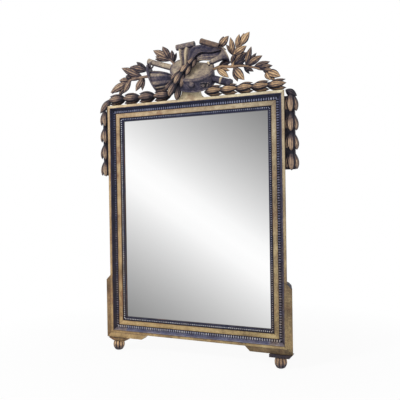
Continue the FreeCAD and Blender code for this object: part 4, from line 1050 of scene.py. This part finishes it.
# Lute: a ribbed bowl behind a thick rim.
LUTE_RIM_TOP = crest(-210, 174, 10)
LUTE_BOWL_TOP = crest(-203, 147, 10)
LUTE_BOTTOM = crest(-165, 48, 10)
LUTE_END = crest(-72, 98, 10)
# Along the bowl: share of its length and size; then round it: start and end of each stave, and its relief.
LUTE_SIZES = ((0, 1), (0.16, 0.99), (0.4, 0.9), (0.65, 0.72), (0.85, 0.48), (1, 0.24))
STAVES = ((0, 0.26, 0.5), (0.26, 0.43, 0.64), (0.43, 0.55, 0.32), (0.55, 0.68, 0.56), (0.68, 0.73, 0.10),
          (0.73, 0.79, 0.72), (0.79, 0.84, 0.10), (0.84, 0.90, 0.72), (0.90, 1.0, 0.2))
STAVE_STEPS = 6
BOWL_STEPS = 4
LUTE_BOWL_FULLNESS = 0.95
LUTE_RIM_FULLNESS = 0.78
LUTE_RIM_TONE = 0.32
# The bowl is painted darker towards its end by LUTE_SHADE, as the shadow of the leaf chain.
LUTE_SHADE = 0.6


def lute_row(share, size, rim):
    top = LUTE_RIM_TOP if rim else LUTE_BOWL_TOP
    middle = ((top + LUTE_BOTTOM) / 2).lerp(LUTE_END, share)
    half = (top - LUTE_BOTTOM) * (0.5 * size)
    deep = FRONT * (half.length * (LUTE_RIM_FULLNESS if rim else LUTE_BOWL_FULLNESS))
    shade = mixed(1.0, LUTE_SHADE, smooth(0.15, 0.8, share))
    row = []
    for low, high, relief in STAVES:
        for across in steps(STAVE_STEPS):
            ridge = 1 - abs(2 * across - 1) ** 3
            turn = pi * mixed(low, high, mixed(0.03, 0.97, across))
            swell = 1.0 if rim else 0.972 + 0.028 * ridge
            place = middle + (half * cos(turn) + deep * sin(turn)) * swell
            row.append((place, LUTE_RIM_TONE if rim else relief * mixed(0.5, 1.0, ridge) * shade))
    return row


lute = Carving()
lute_rows = []
for (near, near_size), (far, far_size) in zip(LUTE_SIZES, LUTE_SIZES[1:]):
    for share in steps(BOWL_STEPS)[:-1]:
        lute_rows.append(lute_row(mixed(near, far, share), mixed(near_size, far_size, share), False))
lute_rows.append(lute_row(*LUTE_SIZES[-1], False))
lute.grid(lute_rows, closed=True, capped=True)
lute.grid([lute_row(share, size, True) for share, size in (
    (-0.07, 0.98), (-0.08, 1.02), (-0.07, 1.06), (-0.03, 1.07), (0.01, 1.06), (0.02, 1.02), (0.01, 0.9))],
    closed=True, capped=True)
finish_trophy(lute, "lute")

# Flute, with rings and finger holes, and the cord loop that ties it to the lute.
FLUTE_START = crest(-212, 188, 24)
FLUTE_AXIS = Vector((398, 0, -137)).normalized()
FLUTE_LENGTH = 420
FLUTE_RADIUS = 12.5
FLUTE_GROWTH = 1.3
FLUTE_STEPS = 84
FINGER_HOLES = (0.09, 0.17, 0.25)
# Rings of the flute: start and end along it, swelling, relief.
RINGS = ((0.0, 0.035, 1.12, 0.7), (0.872, 0.896, 1.40, 0.80), (0.955, 0.999, 1.44, 0.32))
profile = [(4, 10, 0.0), (7.5, 0.5, 0.1)]
for share in steps(FLUTE_STEPS):
    swell = mixed(1.0, FLUTE_GROWTH, share)
    tone = mixed(0.66, 0.20, smooth(0.42, 0.55, share))
    for low, high, size, ring_tone in RINGS:
        if low <= share <= high:
            swell = size * (1 + 0.03 * cos(4 * pi * (share - low) / (high - low)))
            tone = ring_tone
    profile.append((FLUTE_RADIUS * swell, FLUTE_LENGTH * share, tone))
profile.append((6, FLUTE_LENGTH, 0.1))
flute = Carving()
# The flute is darkened at its sides as painted shade.
turned(flute, FLUTE_START, FLUTE_AXIS, profile, 32, side_shade=0.4)
flute_out = FLUTE_AXIS.cross(Vector((0.0, -0.75, 0.66))).normalized().cross(FLUTE_AXIS)
# Each finger hole is a raised ring whose inside is painted dark, as the shade in the hole.
for share in FINGER_HOLES:
    hole = FLUTE_START + FLUTE_AXIS * (FLUTE_LENGTH * share * MM)
    hole += flute_out * (FLUTE_RADIUS * mixed(1.0, FLUTE_GROWTH, share) - 0.6) * MM
    turned(flute, hole, flute_out, ((4.2, 0, 0.3), (4, 0.9, 0.5), (3, 0.9, 0.2), (2.8, 0, 0.0)), 16)
finish_trophy(flute, "flute")

LOOP_MIDDLE = crest(-196, 171, 26)
LOOP_RADIUS = 15 * MM
LOOP_CORD = 3.6 * MM
LOOP_TWISTS = 18
loop_turn = FLUTE_AXIS.to_track_quat("Z", "Y").to_matrix()


def cord_point(angle, turn):
    outward = loop_turn @ Vector((cos(angle), sin(angle), 0))
    side = outward * cos(turn) + FLUTE_AXIS * sin(turn)
    strand = 0.5 + 0.5 * cos(LOOP_TWISTS * angle + turn)
    place = LOOP_MIDDLE + outward * LOOP_RADIUS + side * LOOP_CORD * mixed(0.9, 1.0, strand)
    return place, mixed(0.15, 0.5, strand)


loop = Carving()
loop.loft(around(72) + [0.0], around(12), cord_point, capped=False)
finish_trophy(loop, "lute_loop")

# Horn, its bell turned away to the right and back: mouthpiece, tube and bell, in mm.
HORN_START = crest(94, 134, 64)
HORN_AXIS = Vector((0.79, 0.40, 0.45)).normalized()
HORN_TUBE_START = 15
HORN_TUBE_LENGTH = 67
HORN_STEPS = 20
profile = [
    (3.0, 1.5, 0.2), (6.4, 0.0, 0.6), (9.6, 1.2, 0.9), (10.6, 4.6, 0.96), (9.6, 8.2, 0.86), (7.0, 9.6, 0.25),
    (6.8, 11.4, 0.2), (8.2, 12.4, 0.42), (8.2, 14, 0.4), (7.4, HORN_TUBE_START, 0.28)]
for share in steps(HORN_STEPS)[1:]:
    radius = 10.4 + 4.6 * share + 16.0 * share ** 8
    profile.append((radius, HORN_TUBE_START + HORN_TUBE_LENGTH * share, mixed(0.62, 0.48, share)))
# The bell is closed by a shallow cone painted near black, as the shade inside the bell.
profile += [
    (32, 82.6, 0.12), (33.4, 82.2, 0.3), (35.6, 82, 0.62), (37, 83.4, 0.74), (37.2, 85.6, 0.74),
    (36, 87.4, 0.6), (33.6, 87.8, 0.4), (31, 87.2, 0.12), (12, 83.5, 0.04), (0.5, 82, 0.02)]
horn = Carving()
# The horn is darkened at its sides as painted shade.
turned(horn, HORN_START, HORN_AXIS, profile, 40, side_shade=0.2)
finish_trophy(horn, "horn")


# Music score: a fluted left page, a waving right page, a lower page and two rolled edges.
PAGE_BACK_TONE = 0.03


def page(work, upper, lower, forward, thickness, counts, wave, shade):
    """A carved page between two curves; wave lifts its face in mm, shade gives its relief."""
    along_count, across_count = counts
    tops = flow([crest(x, height, forward) for x, height in upper], along_count)
    bottoms = flow([crest(x, height, forward) for x, height in lower], along_count)
    rows = []
    for s, top, bottom in zip(steps(along_count), tops, bottoms):
        row = [(top.lerp(bottom, c) + FRONT * wave(s, c) * MM, shade(s, c)) for c in steps(across_count)]
        row += [(end - FRONT * thickness * MM, PAGE_BACK_TONE) for end in (bottom, top)]
        rows.append(row)
    work.grid(rows, closed=True, capped=True)


ROLL_STEPS = 14


def roll(work, start, end, forward, radius, relief):
    """A rolled edge with the spiral of the paper at its ends."""
    near = crest(*start, forward)
    run = crest(*end, forward) - near
    full = run.length / MM
    profile = [
        (0.4, -1, 0.1), (2.4, 0.5, 0.05), (4.4, -0.8, 0.34), (6, 0.4, 0.05), (radius * 0.9, -0.6, relief)]
    for share in steps(ROLL_STEPS):
        profile.append((radius * (1 + 0.02 * sin(share * 21)), full * share, relief))
    profile += [(radius * 0.9, full + 0.6, relief), (6, full - 0.4, 0.05), (0.4, full, 0.1)]
    # The roll is darkened at its sides as painted shade.
    turned(work, near, run.normalized(), profile, 28, side_shade=0.25)


def upper_page_shade(s, c):
    """Dark, with a light lower edge that starts a little along the page."""
    return 0.25 + 0.12 * cos(9 * c) + 0.22 * smooth(0.86, 0.97, c) * smooth(0.1, 0.4, s)


def lower_page_shade(s, c):
    """Painted shadow under the page above it and under the horn."""
    tone = mixed(0.0, 0.46 + 0.14 * cos(20 * c), smooth(0.16, 0.42, c))
    return tone * mixed(1.0, 0.45, smooth(0.5, 0.9, s))


LEFT_FOLDS = 1.6
score = Carving()
page(
    score, ((-42, 150), (-48, 192), (-50, 228)), ((-8, 150), (-3, 200), (10, 228)), 38, 20, (12, 36),
    lambda s, c: 5 * cos(2 * pi * c * LEFT_FOLDS) + 3 * s,
    lambda s, c: 0.54 + 0.26 * cos(2 * pi * c * LEFT_FOLDS))
page(
    score, ((-12, 150), (-2, 188), (14, 220), (58, 226), (105, 214), (154, 206)),
    ((10, 150), (21, 168), (33, 186), (57, 195), (99, 189), (166, 196)), 44, 20, (40, 14),
    lambda s, c: 7 * sin(pi * c) * cos(pi * (c - 0.35)), upper_page_shade)
page(
    score, ((16, 158), (34, 186), (60, 197), (98, 193), (144, 192)),
    ((30, 160), (51, 164), (87, 160), (129, 159), (147, 170)), 34, 16, (30, 16),
    lambda s, c: 3 * sin(pi * c) + 1.2 * cos(20 * c), lower_page_shade)
LEFT_ROLL = ((-64, 229), (22, 235))
RIGHT_ROLL = ((54, 242), (138, 209))
ROLL_RADIUS = 13
ROLL_TONE = 0.5
roll(score, *LEFT_ROLL, 36, ROLL_RADIUS, ROLL_TONE)
roll(score, *RIGHT_ROLL, 40, ROLL_RADIUS, ROLL_TONE)
score_piece = finish_trophy(score, "music_score")
# The right rolled edge is rubbed to a warmer brown than the pages.
score_piece.data.materials.append(LEAF_GILT)
(roll_x, roll_height), (roll_end_x, roll_end_height) = RIGHT_ROLL
for face in score_piece.data.polygons:
    share = (face.center.x / MM - roll_x) / (roll_end_x - roll_x)
    height = (face.center.z - RAIL_TOP) / MM - mixed(roll_height, roll_end_height, share)
    face.material_index = int(share > -0.05 and height > -ROLL_RADIUS - 1)

# CAD nodes that keep their shape.
for names, look in (
        (("glazing_blocks", "mitre_keys", "crest_dowels", "drop_pins"), WOOD),
        (("board_nails", "batten_screws", "hanger_screws"), IRON),
        (("left_strap", "right_strap", "left_ring", "right_ring"), BRASS),
        (("mirror_glass",), MIRROR)):
    for name in names:
        nodes[name].data.materials.clear()
        nodes[name].data.materials.append(look)

# Camera at the photograph's viewing angle.
IMAGE_WIDTH = 400
FOCAL_PIXELS = 550
SENSOR = 36
YAW, PITCH, ROLL = (radians(angle) for angle in (24.06, -0.49, -0.90))
CAMERA_PLACE = Vector((1.0059, -2.2068, 0.1049))
view_forward = Vector((-sin(YAW) * cos(PITCH), cos(YAW) * cos(PITCH), sin(PITCH)))
level_right = view_forward.cross(UP).normalized()
level_up = level_right.cross(view_forward)
view_right = level_right * cos(ROLL) + level_up * sin(ROLL)
view_up = level_up * cos(ROLL) - level_right * sin(ROLL)


def facing(place, right, up):
    """Stands an object at a place with its own X to the right and its own Y up."""
    out = right.cross(up)
    return Matrix.Translation(place) @ Matrix((right, up, out)).transposed().to_4x4()


camera_data = bpy.data.cameras.new("camera")
camera_data.sensor_width = SENSOR
camera_data.lens = FOCAL_PIXELS / IMAGE_WIDTH * SENSOR
camera = add_object("camera", camera_data)
camera.matrix_world = facing(CAMERA_PLACE, view_right, view_up)
bpy.context.scene.camera = camera

# Stage: pale floor under the feet, and a graded card that the plate reflects.
STAGE_SIZE = 9
FLOOR_GAP = 0.0005
FLOOR_GREY = (0.9, 0.9, 0.9, 1)
FLOOR_ROUGHNESS = 0.9
# The floor glows a little less near the feet; the reach is given as squares of the distance.
FLOOR_REACH = (0.25, 1.8)
FLOOR_GLOW = (0.93, 1.0)


def plane(name, look, matrix):
    half = STAGE_SIZE / 2
    corners = [(-half, -half, 0), (half, -half, 0), (half, half, 0), (-half, half, 0)]
    mesh = bpy.data.meshes.new(name)
    mesh.from_pydata(corners, [], [(0, 1, 2, 3)])
    mesh.materials.append(look)
    obj = add_object(name, mesh)
    obj.matrix_world = matrix
    return obj


def seen_directly(tree):
    """1 for camera, mirror and glass rays, 0 for the light that falls on the object."""
    path = tree.node("LightPath", {}).outputs
    return tree.added(*(path[f"Is {kind} Ray"] for kind in ("Camera", "Glossy", "Transmission")))


def floor_look():
    """Grey that keeps a faint shadow near the feet and is plain white further away."""
    look = Look("pale_floor")
    base = look.shader
    look.feed(base.inputs["Base Color"], FLOOR_GREY)
    look.feed(base.inputs["Roughness"], FLOOR_ROUGHNESS)
    glow = look.node("Emission", {"Strength": 1.0})
    share = look.times(seen_directly(look), look.spread(look.from_middle(), *FLOOR_REACH, *FLOOR_GLOW))
    return look.show(look.node("MixShader", {0: share, 1: base.outputs[0], 2: glow.outputs[0]}))


floor = plane("floor", floor_look(), Matrix.Translation((0, 0, FLOOR - FLOOR_GAP)))
floor.visible_glossy = False

# The card's white band: how fast it falls off along the card's X and Y, its offset from the middle, and
# the fall-off at which the darkest grey is reached. Far from its middle the card turns white again.
BAND_X = 54.0
BAND_Y = 77.0
BAND_OFFSET = 14.6
BAND_END = 140
CARD_REACH = (2.9, 12.0)
CARD_WHITE = 254
CARD_STOPS = 10
GREY_START = 264
GREY_STEP = 15
CARD_DISTANCE = 5.5


def card_look():
    """A band of white between two greys, running down to the right."""
    look = Look("graded_card")
    slope = look.math("ADD", look.times(look.axis("X"), BAND_X), look.times(look.axis("Y"), BAND_Y))
    away = look.math("ABSOLUTE", look.math("ADD", slope, BAND_OFFSET))
    share = look.times(look.spread(away, 0, BAND_END), look.spread(look.from_middle(), *CARD_REACH, 1.0, 0.0))
    greys = [min(CARD_WHITE, GREY_START - GREY_STEP * k) for k in range(CARD_STOPS + 1)]
    stops = [(place, grey, grey, grey) for place, grey in zip(steps(CARD_STOPS), greys)]
    return look.show(look.node("Emission", {"Color": look.ramp(share, stops)}))


plate_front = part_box("mirror_glass")[0].y
seen_from = Vector((CAMERA_PLACE.x, 2 * plate_front - CAMERA_PLACE.y, CAMERA_PLACE.z))
flip = Vector((1, -1, 1))
card_place = seen_from + view_forward * flip * CARD_DISTANCE
card = plane("graded_card", card_look(), facing(card_place, view_right * flip, view_up * flip))
for ray in ("camera", "diffuse", "shadow", "transmission", "volume_scatter"):
    setattr(card, "visible_" + ray, False)


def lamp(name, place, target, size, power):
    data = bpy.data.lights.new(name, "AREA")
    data.shape = "DISK"
    data.size = size
    data.energy = power
    obj = add_object(name, data)
    out = (Vector(place) - Vector(target)).normalized()
    obj.matrix_world = Matrix.Translation(place) @ out.to_track_quat("Z", "Y").to_matrix().to_4x4()
    obj.visible_glossy = False


lamp("key", (-1.7, -3.0, 2.4), (0, 0, 0.1), 0.9, 92)
lamp("fill", (1.8, -2.8, 0.6), (0, 0, 0), 1.8, 28)

# White for the camera and the mirror, a softer white as light.
AMBIENT = 0.36
world = bpy.data.worlds.new("studio")
bpy.context.scene.world = world
world.use_nodes = True
studio = Nodes(world.node_tree)
backdrop = studio.tree.nodes["Background"]
studio.feed(backdrop.inputs["Color"], (1, 1, 1, 1))
studio.feed(backdrop.inputs["Strength"], studio.spread(seen_directly(studio), 0.0, 1.0, AMBIENT, 1.0))

bpy.context.scene.view_settings.view_transform = "Standard"
